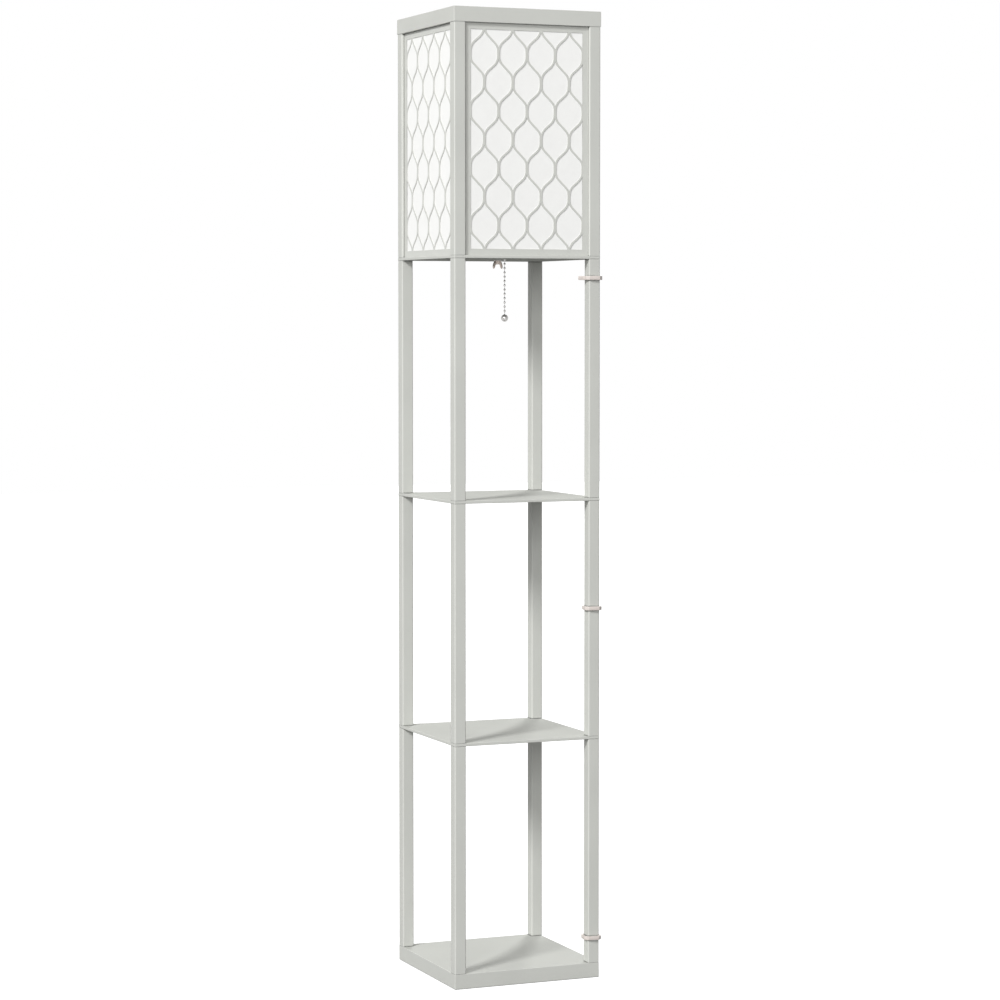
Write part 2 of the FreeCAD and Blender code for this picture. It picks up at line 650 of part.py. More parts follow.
def contact_strip():
    """The springy strip behind the cam that makes and breaks the circuit."""
    piece = new_body("contact_strip", z=DISC)
    primitive(piece, "AdditiveBox",
              {"Length": "sizes.blade_width", "Width": "sizes.blade_thickness",
               "Height": "sizes.cheek_height"},
              "-sizes.blade_width / 2 + sizes.lever_thickness / 2",
              "sizes.cam_radius + sizes.blade_gap", "-sizes.cheek_height")
    return piece


def centre_contact():
    """The sprung tab in the disc's pocket that meets the foot of the bulb."""
    piece = new_body("centre_contact", z=f"{DISC_TOP} - sizes.tab_pocket_depth")
    sketch = new_sketch(piece, "tab_side", "XZ_Plane", "-sizes.blade_width / 2")
    outline(sketch, [("-sizes.tab_length / 2", "0"), ("-sizes.blade_thickness", "0"),
                     ("sizes.tab_length / 2", "sizes.tab_rise - sizes.blade_thickness"),
                     ("sizes.tab_length / 2", "sizes.tab_rise"),
                     ("-sizes.blade_thickness", "sizes.blade_thickness"),
                     ("-sizes.tab_length / 2", "sizes.blade_thickness")])
    pad(piece, sketch, "sizes.blade_width")
    return piece


def screw_sleeve():
    """The threaded sleeve that takes the bulb's cap."""
    piece = new_body("screw_sleeve", z=DISC_TOP)
    outer = "(sizes.screw_radius + sizes.screw_wall)"
    revolve(piece, [("sizes.screw_radius", "0"), (outer, "0"), (outer, "sizes.screw_depth"),
                    ("sizes.screw_radius", "sizes.screw_depth")])
    return piece


def chain_guide():
    """The short tube through the cup's wall, with a flared mouth that the chain bends over."""
    piece = new_body("chain_guide", y=f"-{CUP_INNER}", z=CHAIN_LINE, tilt=FORWARD)
    end = "(sizes.holder_wall + sizes.guide_reach)"
    neck = f"({end} - 2 * sizes.guide_flare)"
    revolve(piece, [(CHAIN_BORE, "0"), (GUIDE_OUTER, "0"), (GUIDE_OUTER, neck),
                    (f"{GUIDE_OUTER} + sizes.guide_flare", end), (CHAIN_BORE, neck)])
    return piece


def return_spring():
    """The coil spring round the chain that pushes the lever back, as a plain sleeve."""
    start = "(sizes.lever_width / 2 + sizes.spring_gap)"
    piece = new_body("return_spring", y=f"-{start}", z=CHAIN_LINE, tilt=FORWARD)
    length = f"{CUP_INNER} - {start} - sizes.spring_gap"
    primitive(piece, "AdditivePrism",
              {"Polygon": RING_SIDES, "Circumradius": "sizes.spring_radius", "Height": length})
    primitive(piece, "SubtractivePrism",
              {"Polygon": RING_SIDES, "Circumradius": "sizes.spring_radius - sizes.spring_wall",
               "Height": length})
    return piece


def holder_stud():
    """The stud that holds the cup down: its hexagon head lies on the cup's floor."""
    piece = new_body("holder_stud", z=PLATE)
    shank = "sizes.stud_length + sizes.shelf_thickness + sizes.cup_floor"
    primitive(piece, "AdditiveCylinder", {"Radius": "sizes.rod_radius", "Height": shank},
              z="-sizes.stud_length")
    primitive(piece, "AdditivePrism",
              {"Polygon": HEXAGON, "Circumradius": "sizes.stud_head_radius",
               "Height": "sizes.stud_head_height"},
              z="sizes.shelf_thickness + sizes.cup_floor")
    return piece


def plate_washer():
    """The washer between the lamp plate and the wing nut."""
    piece = new_body("plate_washer", z=f"{PLATE} - sizes.washer_thickness")
    ring = {"Polygon": RING_SIDES, "Circumradius": "sizes.washer_radius",
            "Height": "sizes.washer_thickness"}
    primitive(piece, "AdditivePrism", ring)
    primitive(piece, "SubtractivePrism", dict(ring, Circumradius=ROD_HOLE))
    return piece


def wing_nut():
    """The nut that clamps the lamp holder: a tapered hub with two wings splayed downward."""
    turn = number("sizes.nut_turn")
    piece = new_body("wing_nut", z=f"{PLATE} - sizes.washer_thickness", turn=turn)
    hub_end = "-sizes.nut_hub_height"
    slim = "(sizes.nut_hub_radius - sizes.nut_hub_taper)"
    hub = {"Radius1": slim, "Radius2": "sizes.nut_hub_radius", "Height": "sizes.nut_hub_height"}
    primitive(piece, "AdditiveCone", hub, z=hub_end)
    span = "(sizes.nut_wing_span / 2)"
    root = "sizes.nut_wing_root"
    rise = "sizes.nut_wing_height"
    for side, sign in (("right", ""), ("left", "-")):
        sketch = new_sketch(piece, f"wing_{side}", "XZ_Plane", "-sizes.nut_wing_thickness / 2")
        outline(sketch, [(f"{sign}{slim} / 2", f"-{root}"), (f"{sign}{slim}", f"-{root}"),
                         (f"{sign}{span}", f"-({rise} - sizes.nut_wing_tip)"),
                         (f"{sign}({span} - sizes.edge_break)", f"-{rise}"),
                         (f"{sign}({span} - sizes.nut_wing_tip)", f"-{rise}"),
                         (f"{sign}{slim} / 2", f"{hub_end} + {root}")])
        pad(piece, sketch, "sizes.nut_wing_thickness")
    ring_hole(piece, ROD_HOLE, "sizes.nut_hub_height", z=hub_end)
    return piece


# ---------------------------------------------------------------- pull chain

CHAIN_Y = "-sizes.chain_forward"
INNER_BEADS = 3


def faceted(rings, sides):
    """A ruled loft through polygons about Z, each given by its radius and height."""
    wires = []
    for radius, height in rings:
        corners = []
        for step in range(sides):
            angle = 2 * math.pi * step / sides
            corners.append(Vector(radius * math.cos(angle), radius * math.sin(angle), height))
        wires.append(Part.makePolygon(corners + corners[:1]))
    return Part.makeLoft(wires, True, True)


def bead(place, along):
    """One bead of the chain about a point, its axis along the chain."""
    radius = number("sizes.bead_radius")
    waist = number("sizes.bead_waist")
    half_length = math.sqrt(radius ** 2 - waist ** 2)
    half_band = half_length * BEAD_BAND
    solid = faceted([(waist, -half_length), (radius, -half_band), (radius, half_band),
                     (waist, half_length)], BEAD_SIDES)
    solid.Placement = FreeCAD.Placement(place, FreeCAD.Rotation(UP, along))
    return solid


def link(start, end):
    """The straight wire between two points of the chain, square in section."""
    side = number("sizes.link_side")
    run = end - start
    wire = Part.makeBox(side, side, run.Length, Vector(-side / 2, -side / 2, 0))
    wire.Placement = FreeCAD.Placement(start, FreeCAD.Rotation(UP, run))
    return wire


def chain_length(label, places, along, head=None, tail=None):
    """A length of chain: beads at their places, joined by wires, as one solid.

    Its wire can reach on from the first bead to the head and from the last one to the tail.
    """
    solids = [bead(place, along) for place in places]
    joined = [point for point in [head] + places + [tail] if point]
    solids += [link(joined[index], joined[index + 1]) for index in range(len(joined) - 1)]
    piece = DOC.addObject("Part::Feature", label)
    piece.Label = label
    piece.Shape = solids[0].multiFuse(solids[1:]).removeSplitter()
    return piece


def hanging_places(first, count):
    """Places of beads on the hanging chain. Bead 0 is the first below the plate."""
    top = number(f"{PLATE} - sizes.first_bead_drop")
    pitch = number("sizes.bead_pitch")
    return [Vector(0, number(CHAIN_Y), top - pitch * (first + index)) for index in range(count)]


def inner_chain():
    """The beads between the lever and the guide's mouth."""
    pitch = number("sizes.bead_pitch")
    start = number("-sizes.cup_radius - sizes.guide_bead_place")
    line = number(CHAIN_LINE)
    places = [Vector(0, start + pitch * index, line) for index in range(INNER_BEADS)]
    lever_face = Vector(0, number("-sizes.lever_width / 2 - sizes.chain_gap"), line)
    return chain_length("chain_in_holder", places, Vector(0, 1, 0), tail=lever_face)


def chain_end_ball():
    """The ball that the hand takes, cut flat on top where the chain's wire ends in it."""
    radius = number("sizes.ball_radius")
    flat = math.asin(number("sizes.bead_radius / sizes.ball_radius"))
    angles = [flat + (math.pi - 2 * flat) * step / BALL_RINGS for step in range(BALL_RINGS + 1)]
    rings = [(radius * math.sin(angle), -radius * math.cos(angle)) for angle in angles]
    ball = faceted(rings, RING_SIDES)
    ball.translate(Vector(0, number(CHAIN_Y), number(f"{PLATE} - sizes.ball_drop")))
    piece = DOC.addObject("Part::Feature", "pull_ball")
    piece.Label = "pull_ball"
    piece.Shape = ball
    return piece


def flanged_ring(piece, bore, outer, flange, lip):
    """A ring through the lamp plate whose flange lies on the plate, kept light."""
    ring = {"Polygon": RING_SIDES, "Circumradius": outer, "Height": "sizes.shelf_thickness"}
    primitive(piece, "AdditivePrism", ring)
    disc = {"Polygon": RING_SIDES, "Circumradius": f"{outer} + {flange}", "Height": lip}
    primitive(piece, "AdditivePrism", disc, z="sizes.shelf_thickness")
    ring_hole(piece, bore, f"sizes.shelf_thickness + {lip}")


def plate_ferrule():
    """The ring that lines the chain's hole, its flange lying on the lamp plate."""
    piece = new_body("plate_ferrule", y=CHAIN_Y, z=PLATE)
    flanged_ring(piece, CHAIN_BORE, FERRULE_OUTER, "sizes.ferrule_flange", "sizes.ferrule_lip")
    return piece


# ---------------------------------------------------------------- cord's way and clips

def cord_grommet():
    """The soft ring in the lamp plate that the cord goes down through."""
    piece = new_body("cord_grommet", x=GROMMET_PLACE, y=f"-{GROMMET_PLACE}", z=PLATE)
    flanged_ring(piece, "sizes.grommet_bore", GROMMET_OUTER, "sizes.grommet_flange",
                 "sizes.grommet_lip")
    return piece


def clip_half(reach, corner_reach):
    """The right half of an eight-sided ring, from front to back, as pairs of expressions.

    The long sides stand at the first distance from the middle, the short ones at the second.
    """
    half_long = f"(sqrt(2) * {corner_reach} - {reach})"
    return [(half_long, f"-{reach}"), (reach, f"-{half_long}"), (reach, half_long),
            (half_long, reach)]


def mirrored(corners):
    """The same corners on the other side of the Y axis, in reverse order."""
    return [(f"-{x}", y) for x, y in reversed(corners)]


def cord_clip(label, place, turn):
    """An eight-sided collar round the right front post, open on one side.

    Its ends run out as two prongs that hold the cord. Drawn with the prongs towards +Y.
    """
    piece = new_body(label, POST_CENTRE, f"-{POST_CENTRE}", f"{place} - sizes.clip_height / 2",
                     turn + number("sizes.clip_turn"))
    outer = "sizes.clip_reach"
    inner = "(sizes.clip_reach - sizes.clip_wall)"
    hold = "(sizes.clip_cord_gap / 2)"
    prong = f"({hold} + sizes.clip_prong_wall)"
    tip = f"({outer} + sizes.clip_prong)"
    outside = clip_half(outer, "sizes.clip_corner_reach") + [(prong, outer), (prong, tip),
                                                             (hold, tip), (hold, inner)]
    inside = clip_half(inner, "(sizes.clip_corner_reach - sizes.clip_wall)")
    sketch = new_sketch(piece, f"{label}_plan")
    outline(sketch, outside + list(reversed(inside)) + list(reversed(mirrored(inside)))
            + mirrored(outside))
    pad(piece, sketch, "sizes.clip_height")
    return piece


# ---------------------------------------------------------------- the whole lamp

TIERS = [
    ("lower", BASE_TOP, "sizes.lower_bay", False),
    ("middle", LOWER_TOP, "sizes.middle_bay", False),
    ("upper", MIDDLE_TOP, "sizes.upper_bay", False),
    ("shade", PLATE_TOP, "sizes.shade_bay", True),
]

pieces = [base_board(), shelf("lower_shelf", LOWER_SHELF), shelf("middle_shelf", MIDDLE_SHELF),
          lamp_plate(), cap_frame()]
for tier_name, tier_bottom, tier_length, has_grooves in TIERS:
    for corner_name in CORNERS:
        pieces.append(post(tier_name, corner_name, tier_bottom, tier_length, has_grooves))

pieces.append(headed_bolts("base_bolts", "sizes.base_pocket_depth",
                           "sizes.base_thickness - sizes.base_pocket_depth + sizes.rod_grip",
                           False))
pieces.append(rods("lower_shelf_rods", LOWER_SHELF))
pieces.append(rods("middle_shelf_rods", MIDDLE_SHELF))
pieces.append(rods("lamp_plate_rods", PLATE))
pieces.append(headed_bolts("cap_screws", f"{CAP} + sizes.cap_thickness - sizes.cap_pocket_depth",
                           "sizes.cap_thickness - sizes.cap_pocket_depth + sizes.rod_grip",
                           True))

for side_name in SIDES:
    pieces.append(lattice_panel(side_name))
    pieces.append(diffuser(side_name))

pieces += [holder_cup(), holder_shell(), switch_block(), pivot_pin(), switch_lever(),
           switch_cam(), contact_strip(), centre_contact(), screw_sleeve(), chain_guide(),
           return_spring(), holder_stud(), plate_washer(), wing_nut(), plate_ferrule(),
           cord_grommet()]

UPPER_BEADS = 4
MIDDLE_BEADS = 4
LOWER_BEADS = 6
HIDDEN_BEADS = 2
upper = hanging_places(-HIDDEN_BEADS, UPPER_BEADS)
middle = hanging_places(UPPER_BEADS - HIDDEN_BEADS, MIDDLE_BEADS)
lower = hanging_places(UPPER_BEADS - HIDDEN_BEADS + MIDDLE_BEADS, LOWER_BEADS)
bead_end = number("sqrt(sizes.bead_radius ^ 2 - sizes.bead_waist ^ 2) + sizes.chain_gap")
pieces.append(inner_chain())
pieces.append(chain_length("chain_upper", upper, UP))
pieces.append(chain_length("chain_middle", middle, UP, upper[-1] - UP * bead_end))
ball_top = Vector(0, number(CHAIN_Y), number(
    f"{PLATE} - sizes.ball_drop + sqrt(sizes.ball_radius ^ 2 - sizes.bead_radius ^ 2)"))
pieces.append(chain_length("chain_lower", lower, UP, middle[-1] - UP * bead_end, ball_top))
pieces.append(chain_end_ball())

pieces.append(cord_clip("cord_clip_lower", "sizes.clip_lower_place", 0))
pieces.append(cord_clip("cord_clip_middle", "sizes.clip_middle_place", 0))
pieces.append(cord_clip("cord_clip_upper", "sizes.clip_upper_place", QUARTER_TURN))

DOC.recompute()
for thing in DOC.Objects:
    if "Invalid" in thing.State or "Error" in thing.State:
        raise RuntimeError(f"{thing.Label} did not build: {thing.State}")
for piece in pieces:
    if piece.Shape.isNull() or not piece.Shape.isValid():
        raise RuntimeError(f"{piece.Label} has no valid shape")

os.makedirs("parts", exist_ok=True)
for piece in pieces:
    piece.Shape.exportStep(f"parts/{piece.Label}.step")
    print(piece.Label, len(piece.Shape.Solids), round(piece.Shape.Volume, 1))
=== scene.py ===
import math

import bmesh
import bpy
import numpy as np
from mathutils import Matrix, Vector


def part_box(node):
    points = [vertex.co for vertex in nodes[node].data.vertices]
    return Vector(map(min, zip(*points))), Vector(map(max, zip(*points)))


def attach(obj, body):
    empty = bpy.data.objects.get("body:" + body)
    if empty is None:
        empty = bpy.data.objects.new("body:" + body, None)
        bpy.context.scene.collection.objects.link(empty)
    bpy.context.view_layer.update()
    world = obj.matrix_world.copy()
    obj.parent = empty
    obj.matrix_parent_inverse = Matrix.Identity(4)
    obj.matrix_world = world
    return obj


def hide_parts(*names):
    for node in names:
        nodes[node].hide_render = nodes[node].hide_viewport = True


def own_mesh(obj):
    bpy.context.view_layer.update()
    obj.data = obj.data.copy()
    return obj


# A square floor lamp with three open shelf bays under a lattice shade. Units are metres, +Z is up,
# the front is -Y, and the origin lies on the floor under the middle of the base.

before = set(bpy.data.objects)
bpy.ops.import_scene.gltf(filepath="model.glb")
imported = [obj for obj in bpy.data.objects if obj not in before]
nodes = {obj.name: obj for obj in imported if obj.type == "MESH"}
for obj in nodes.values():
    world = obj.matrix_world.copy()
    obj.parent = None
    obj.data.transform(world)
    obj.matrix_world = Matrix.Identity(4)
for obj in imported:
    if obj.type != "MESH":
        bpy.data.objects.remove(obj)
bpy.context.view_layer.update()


# ------------------------------------------------------------------ studio: camera, floor, lights
# A long lens stands five metres off, front left of the object, at the height of its upper shelf
# bay. The floor is white paper in a white world. A large lamp stands far off to the front left, a
# low sheet lights the fronts, and a lamp far behind on the right puts soft bands on the boards.

CAMERA_PLACE = (-1.9541, -4.7023, 1.0968)
CAMERA_HEADING = math.radians(22.6096)
CAMERA_PITCH = math.radians(3.1285)
CAMERA_SENSOR_MM = 36
CAMERA_LENS_MM = 109.45
CAMERA_SHIFT_DOWN = 0.015


def laid(name, data):
    """A new object in the scene, with this mesh, lamp or camera, both under one name."""
    data.name = name
    new = bpy.data.objects.new(name, data)
    bpy.context.scene.collection.objects.link(new)
    return new


camera = laid("camera", bpy.data.cameras.new("camera"))
camera.location = CAMERA_PLACE
camera.rotation_euler = (math.radians(90) - CAMERA_PITCH, 0, -CAMERA_HEADING)
camera.data.sensor_width = CAMERA_SENSOR_MM
camera.data.lens = CAMERA_LENS_MM
camera.data.shift_y = -CAMERA_SHIFT_DOWN
bpy.context.scene.camera = camera
bpy.context.scene.view_settings.view_transform = "Standard"


def feed(tree, value, socket):
    """Link another socket to this one, or put a plain number or colour on it."""
    if isinstance(value, bpy.types.NodeSocket):
        tree.links.new(value, socket)
    else:
        socket.default_value = value


def combined(tree, operation, first, second):
    """Two numbers or sockets in a Math node, as the socket of its result."""
    node = tree.nodes.new("ShaderNodeMath")
    node.operation = operation
    feed(tree, first, node.inputs[0])
    feed(tree, second, node.inputs[1])
    return node.outputs[0]


def value_range(tree, value, low, high, from_low=0.0, from_high=1.0):
    """A value spread from one range over another and held inside it, as a socket."""
    spread = tree.nodes.new("ShaderNodeMapRange")
    for name, limit in (("Value", value), ("From Min", from_low), ("From Max", from_high),
                        ("To Min", low), ("To Max", high)):
        feed(tree, limit, spread.inputs[name])
    return spread.outputs["Result"]


def seen_or_mirrored(tree):
    """1 for rays from the camera and for those by way of gloss or glass, otherwise 0."""
    ray = tree.nodes.new("ShaderNodeLightPath").outputs
    mirrored = combined(tree, "MAXIMUM", ray["Is Glossy Ray"], ray["Is Transmission Ray"])
    return combined(tree, "MAXIMUM", ray["Is Camera Ray"], mirrored)


AMBIENT = 0.36
world = bpy.data.worlds.new("studio")
bpy.context.scene.world = world
world.use_nodes = True
world_tree = world.node_tree
background = world_tree.nodes["Background"]
background.inputs["Color"].default_value = (1, 1, 1, 1)
feed(world_tree, value_range(world_tree, seen_or_mirrored(world_tree), AMBIENT, 1),
     background.inputs["Strength"])

FLOOR_REACH = 14.0
FLOOR_DROP = 0.0005
FLOOR_ALBEDO = 0.19
PAPER_GLOW = 0.88
PAPER_SHADE = 0.40
floor_mesh = bpy.data.meshes.new("floor")
floor_mesh.from_pydata([(x * FLOOR_REACH, y * FLOOR_REACH, -FLOOR_DROP)
                        for x, y in ((-1, -1), (1, -1), (1, 1), (-1, 1))], [], [(0, 1, 2, 3)])
floor = laid("floor", floor_mesh)
paper = bpy.data.materials.new("white_paper")
paper.use_nodes = True
paper_tree = paper.node_tree
paper_tree.nodes.clear()


def matt_paper(albedo):
    """A matt shader in the floor's paper, grey by one albedo, as its socket."""
    shader = paper_tree.nodes.new("ShaderNodeBsdfDiffuse")
    shader.inputs["Color"].default_value = (albedo, albedo, albedo, 1)
    return shader.outputs["BSDF"]


# Where it is seen or mirrored, the paper glows white and still takes the object's shadow. To all
# other rays it is a plain grey, so that it throws little light on the boards from below.
glow = paper_tree.nodes.new("ShaderNodeEmission")
glow.inputs["Strength"].default_value = PAPER_GLOW
seen_paper = paper_tree.nodes.new("ShaderNodeAddShader")
paper_choice = paper_tree.nodes.new("ShaderNodeMixShader")
paper_end = paper_tree.nodes.new("ShaderNodeOutputMaterial")
for source, socket in ((matt_paper(PAPER_SHADE), seen_paper.inputs[0]),
                       (glow.outputs[0], seen_paper.inputs[1]),
                       (seen_or_mirrored(paper_tree), paper_choice.inputs[0]),
                       (matt_paper(FLOOR_ALBEDO), paper_choice.inputs[1]),
                       (seen_paper.outputs[0], paper_choice.inputs[2]),
                       (paper_choice.outputs[0], paper_end.inputs["Surface"])):
    paper_tree.links.new(source, socket)
floor_mesh.materials.append(paper)

LAMP_AIM = Vector((0, 0, 0.8))


def studio_lamp(name, heading, elevation, distance, size, watts):
    """A square lamp aimed at the object's middle, its heading in degrees left of the front."""
    lamp = laid(name, bpy.data.lights.new(name, "AREA"))
    lamp.data.size = size
    lamp.data.energy = watts
    heading, elevation = math.radians(heading), math.radians(elevation)
    toward = Vector((-math.sin(heading) * math.cos(elevation),
                     -math.cos(heading) * math.cos(elevation), math.sin(elevation)))
    lamp.location = LAMP_AIM + toward * distance
    lamp.rotation_euler = toward.to_track_quat("Z", "Y").to_euler()


studio_lamp("key_lamp", heading=57, elevation=32, distance=16.0, size=3.6, watts=2140)
studio_lamp("low_sheet", heading=30, elevation=12, distance=12.0, size=4.0, watts=500)
studio_lamp("back_lamp", heading=214, elevation=32, distance=16.0, size=3.6, watts=1280)


# ------------------------------------------------------------------ base board
# A 25 mm board of pressed fibre in light grey foil, its edges broken by a fine chamfer. Four bolts
# stand up through it into the posts, their heads sunk into pockets in its underside.

FOIL_GREY = (0.553, 0.560, 0.528)
# The arrises' paler grey: partly rubbed wear, partly a painted highlight.
FOIL_WORN_AND_HIGHLIT = (0.640, 0.645, 0.615)
FOIL_ROUGHNESS = 0.52
# The specular level, which fades between these two shares of turning away from the eye.
FOIL_GLOSS = 0.25
GLOSS_FADES = (0.3, 0.8)
FOIL_ARRIS = 0.0007
PORE_DEPTH = 0.00006
PORES_ALONG, PORES_ACROSS = 14, 1400            # to the metre
# Painted shade: within this reach of closing faces the foil's grey darkens to this share of
# itself.
PAINTED_SHADE_REACH = 0.003
PAINTED_SHADE_SHARE = 0.38
# Most of a noise lies between these values.
NOISE_BULK = (0.35, 0.65)


def piece_noise(tree, scale, detail, at=None, **settings):
    """Noise at a piece's own coordinates or at another vector, as the socket of its value."""
    noise = tree.nodes.new("ShaderNodeTexNoise")
    for name, value in {"Scale": scale, "Detail": detail, **settings}.items():
        noise.inputs[name].default_value = value
    if at is None:
        at = tree.nodes.new("ShaderNodeTexCoord").outputs["Object"]
    tree.links.new(at, noise.inputs["Vector"])
    return noise.outputs["Fac"]


def node_group(name, inputs, outputs):
    """An empty shader group, its sockets given by name and kind, and its two end nodes."""
    group = bpy.data.node_groups.new(name, "ShaderNodeTree")
    for way, sockets in (("INPUT", inputs), ("OUTPUT", outputs)):
        for socket, kind in sockets.items():
            group.interface.new_socket(socket, in_out=way, socket_type=f"NodeSocket{kind}")
    return group, group.nodes.new("NodeGroupInput"), group.nodes.new("NodeGroupOutput")


def arris_wear_and_highlight_group():
    """Arris mask for wear and a painted highlight: where a rounded normal leaves the true one,
    broken by noise.
    """
    group, ins, outs = node_group("arris_wear_and_highlight", {"Radius": "Float", "Patchiness": "Float"},
                                  {"Mask": "Float"})
    softened = group.nodes.new("ShaderNodeBevel")
    softened.samples = 4
    true = group.nodes.new("ShaderNodeNewGeometry")
    alike = group.nodes.new("ShaderNodeVectorMath")
    alike.operation = "DOT_PRODUCT"
    group.links.new(ins.outputs["Radius"], softened.inputs["Radius"])
    group.links.new(softened.outputs["Normal"], alike.inputs[0])
    group.links.new(true.outputs["Normal"], alike.inputs[1])
    on_arris = value_range(group, alike.outputs["Value"], 0, 1, 0.995, 0.90)
    least = combined(group, "SUBTRACT", 1, ins.outputs["Patchiness"])
    patches = value_range(group, piece_noise(group, 60, 4), least, 1, *NOISE_BULK)
    group.links.new(combined(group, "MULTIPLY", on_arris, patches), outs.inputs["Mask"])
    return group


def pores_group():
    """Fine pores pressed into a foil: noise drawn out along one axis, and a slow mottle."""
    group, ins, outs = node_group("pressed_pores", {"Stretch": "Vector"},
                                  {"Height": "Float", "Mottle": "Float"})
    place = group.nodes.new("ShaderNodeTexCoord")
    drawn = group.nodes.new("ShaderNodeVectorMath")
    drawn.operation = "MULTIPLY"
    group.links.new(place.outputs["Object"], drawn.inputs[0])
    group.links.new(ins.outputs["Stretch"], drawn.inputs[1])
    pores = piece_noise(group, 1, 3, at=drawn.outputs["Vector"], Roughness=0.6)
    group.links.new(pores, outs.inputs["Height"])
    group.links.new(piece_noise(group, 9, 5), outs.inputs["Mottle"])
    return group


def painted_crevice_shade_group():
    """Mask of painted shade: 1 in joints and inner corners where other faces close a point in, 0
    in the open.
    """
    group, ins, outs = node_group("painted_crevice_shade", {"Reach": "Float"}, {"Mask": "Float"})
    open_sky = group.nodes.new("ShaderNodeAmbientOcclusion")
    open_sky.samples = 8
    group.links.new(ins.outputs["Reach"], open_sky.inputs["Distance"])
    group.links.new(value_range(group, open_sky.outputs["AO"], 0, 1, 0.92, 0.50),
                    outs.inputs["Mask"])
    return group


ARRIS_WEAR_AND_HIGHLIGHT = arris_wear_and_highlight_group()
PAINTED_CREVICE_SHADE = painted_crevice_shade_group()
PRESSED_PORES = pores_group()


def place_group(tree, group, **values):
    """The outputs of a shader group placed in a material with its own values."""
    node = tree.nodes.new("ShaderNodeGroup")
    node.node_tree = group
    for name, value in values.items():
        node.inputs[name].default_value = value
    return node.outputs


def colour_mix(tree, factor, first, second):
    """A blend of two colours, each a plain colour or a socket, by a factor's socket."""
    mix = tree.nodes.new("ShaderNodeMix")
    mix.data_type = "RGBA"
    tree.links.new(factor, mix.inputs["Factor"])
    for name, colour in (("A", first), ("B", second)):
        socket = [s for s in mix.inputs if s.name == name and s.type == "RGBA"][0]
        feed(tree, (*colour, 1) if isinstance(colour, tuple) else colour, socket)
    return [s for s in mix.outputs if s.type == "RGBA"][0]


def shade(colour, share):
    """A plain colour made darker or paler: a share of each channel."""
    return tuple(channel * share for channel in colour)


def bump(tree, height, depth, shader):
    """Put a relief of this depth in metres on a shader's normal."""
    relief = tree.nodes.new("ShaderNodeBump")
    relief.inputs["Distance"].default_value = depth
    tree.links.new(height, relief.inputs["Height"])
    tree.links.new(relief.outputs["Normal"], shader.inputs["Normal"])


def new_material(name):
    """A material, its node tree and its principled shader."""
    material = bpy.data.materials.new(name)
    material.use_nodes = True
    return material, material.node_tree, material.node_tree.nodes["Principled BSDF"]


def foil(name, stretch):
    """Light grey foil: pores along the grain, a slow mottle, arrises paler by wear and a painted
    highlight, and painted shade in its joints and inner corners.

    Its gloss fades away at a graze, as a matt foil's does.
    """
    material, tree, shader = new_material(name)
    pores = place_group(tree, PRESSED_PORES, Stretch=stretch)
    wear_and_highlight = place_group(tree, ARRIS_WEAR_AND_HIGHLIGHT, Radius=FOIL_ARRIS, Patchiness=0.6)
    painted_crevice_shade = place_group(tree, PAINTED_CREVICE_SHADE, Reach=PAINTED_SHADE_REACH)
    mottled = colour_mix(tree, value_range(tree, pores["Mottle"], 0, 1, *NOISE_BULK),
                         shade(FOIL_GREY, 0.975), shade(FOIL_GREY, 1.02))
    pored = colour_mix(tree, value_range(tree, pores["Height"], 0.16, 0, 0.30, 0.55), mottled,
                       shade(FOIL_GREY, 0.88))
    # Arrises turn paler, partly as rubbed wear and partly as a painted highlight.
    edged = colour_mix(tree, wear_and_highlight["Mask"], pored, FOIL_WORN_AND_HIGHLIT)
    # Painted shade: the grey darkens in joints and inner corners, where other faces close it in.
    feed(tree, colour_mix(tree, painted_crevice_shade["Mask"], edged, shade(FOIL_GREY, PAINTED_SHADE_SHARE)),
         shader.inputs["Base Color"])
    feed(tree, value_range(tree, pores["Height"], FOIL_ROUGHNESS + 0.06, FOIL_ROUGHNESS - 0.05),
         shader.inputs["Roughness"])
    grazing = tree.nodes.new("ShaderNodeLayerWeight").outputs["Facing"]
    shader.inputs["Specular IOR Level"].default_value = FOIL_GLOSS
    feed(tree, value_range(tree, grazing, FOIL_GLOSS, 0, *GLOSS_FADES),
         shader.inputs["Specular IOR Level"])
    bump(tree, pores["Height"], PORE_DEPTH, shader)
    return material


MERGE_DISTANCE = 1e-6
FLAT_WITHIN = math.radians(0.5)                 # faces that turn by less are made one
EASED_FROM = math.radians(25)                   # edges that turn by more are eased
EASING_SEGMENTS = 2
FACE_AREA_WEIGHT = 100                          # the most: large flat faces keep flat shading


def eased_copy(node, name, width):
    """A copy of a node's solid with its edges eased by a small radius. It stands for the node."""
    mesh = nodes[node].data.copy()
    work = bmesh.new()
    work.from_mesh(mesh)
    bmesh.ops.remove_doubles(work, verts=work.verts, dist=MERGE_DISTANCE)
    bmesh.ops.dissolve_limit(work, angle_limit=FLAT_WITHIN, verts=work.verts, edges=work.edges)
    for face in work.faces:
        face.smooth = True
    work.to_mesh(mesh)
    work.free()
    piece = laid(name, mesh)
    easing = piece.modifiers.new("easing", "BEVEL")
    easing.width = width
    easing.segments = EASING_SEGMENTS
    easing.limit_method = "ANGLE"
    easing.angle_limit = EASED_FROM
    piece.modifiers.new("flat_faces", "WEIGHTED_NORMAL").weight = FACE_AREA_WEIGHT
    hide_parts(node)
    return piece


def dress(piece, body, material):
    """Give a piece its material and its body."""
    piece.data.materials.clear()
    piece.data.materials.append(material)
    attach(piece, body)


EASED_EDGE = 0.0006
foil_on_boards = foil("foil_along_boards", (PORES_ALONG, PORES_ACROSS, PORES_ACROSS))
dress(eased_copy("base_board", "foiled_base_board", EASED_EDGE), "frame", foil_on_boards)


# ------------------------------------------------------------------ bolts, rods and screws
# Zinc-plated steel. The bolts have hexagon heads in the base's pockets, the rods run headless
# through the shelves from post to post, and the cap's screws lie in pockets on its top.

ZINC = (0.56, 0.56, 0.55)
FINE_EDGE = 0.0003
CLOUD_DEPTH = 0.00003


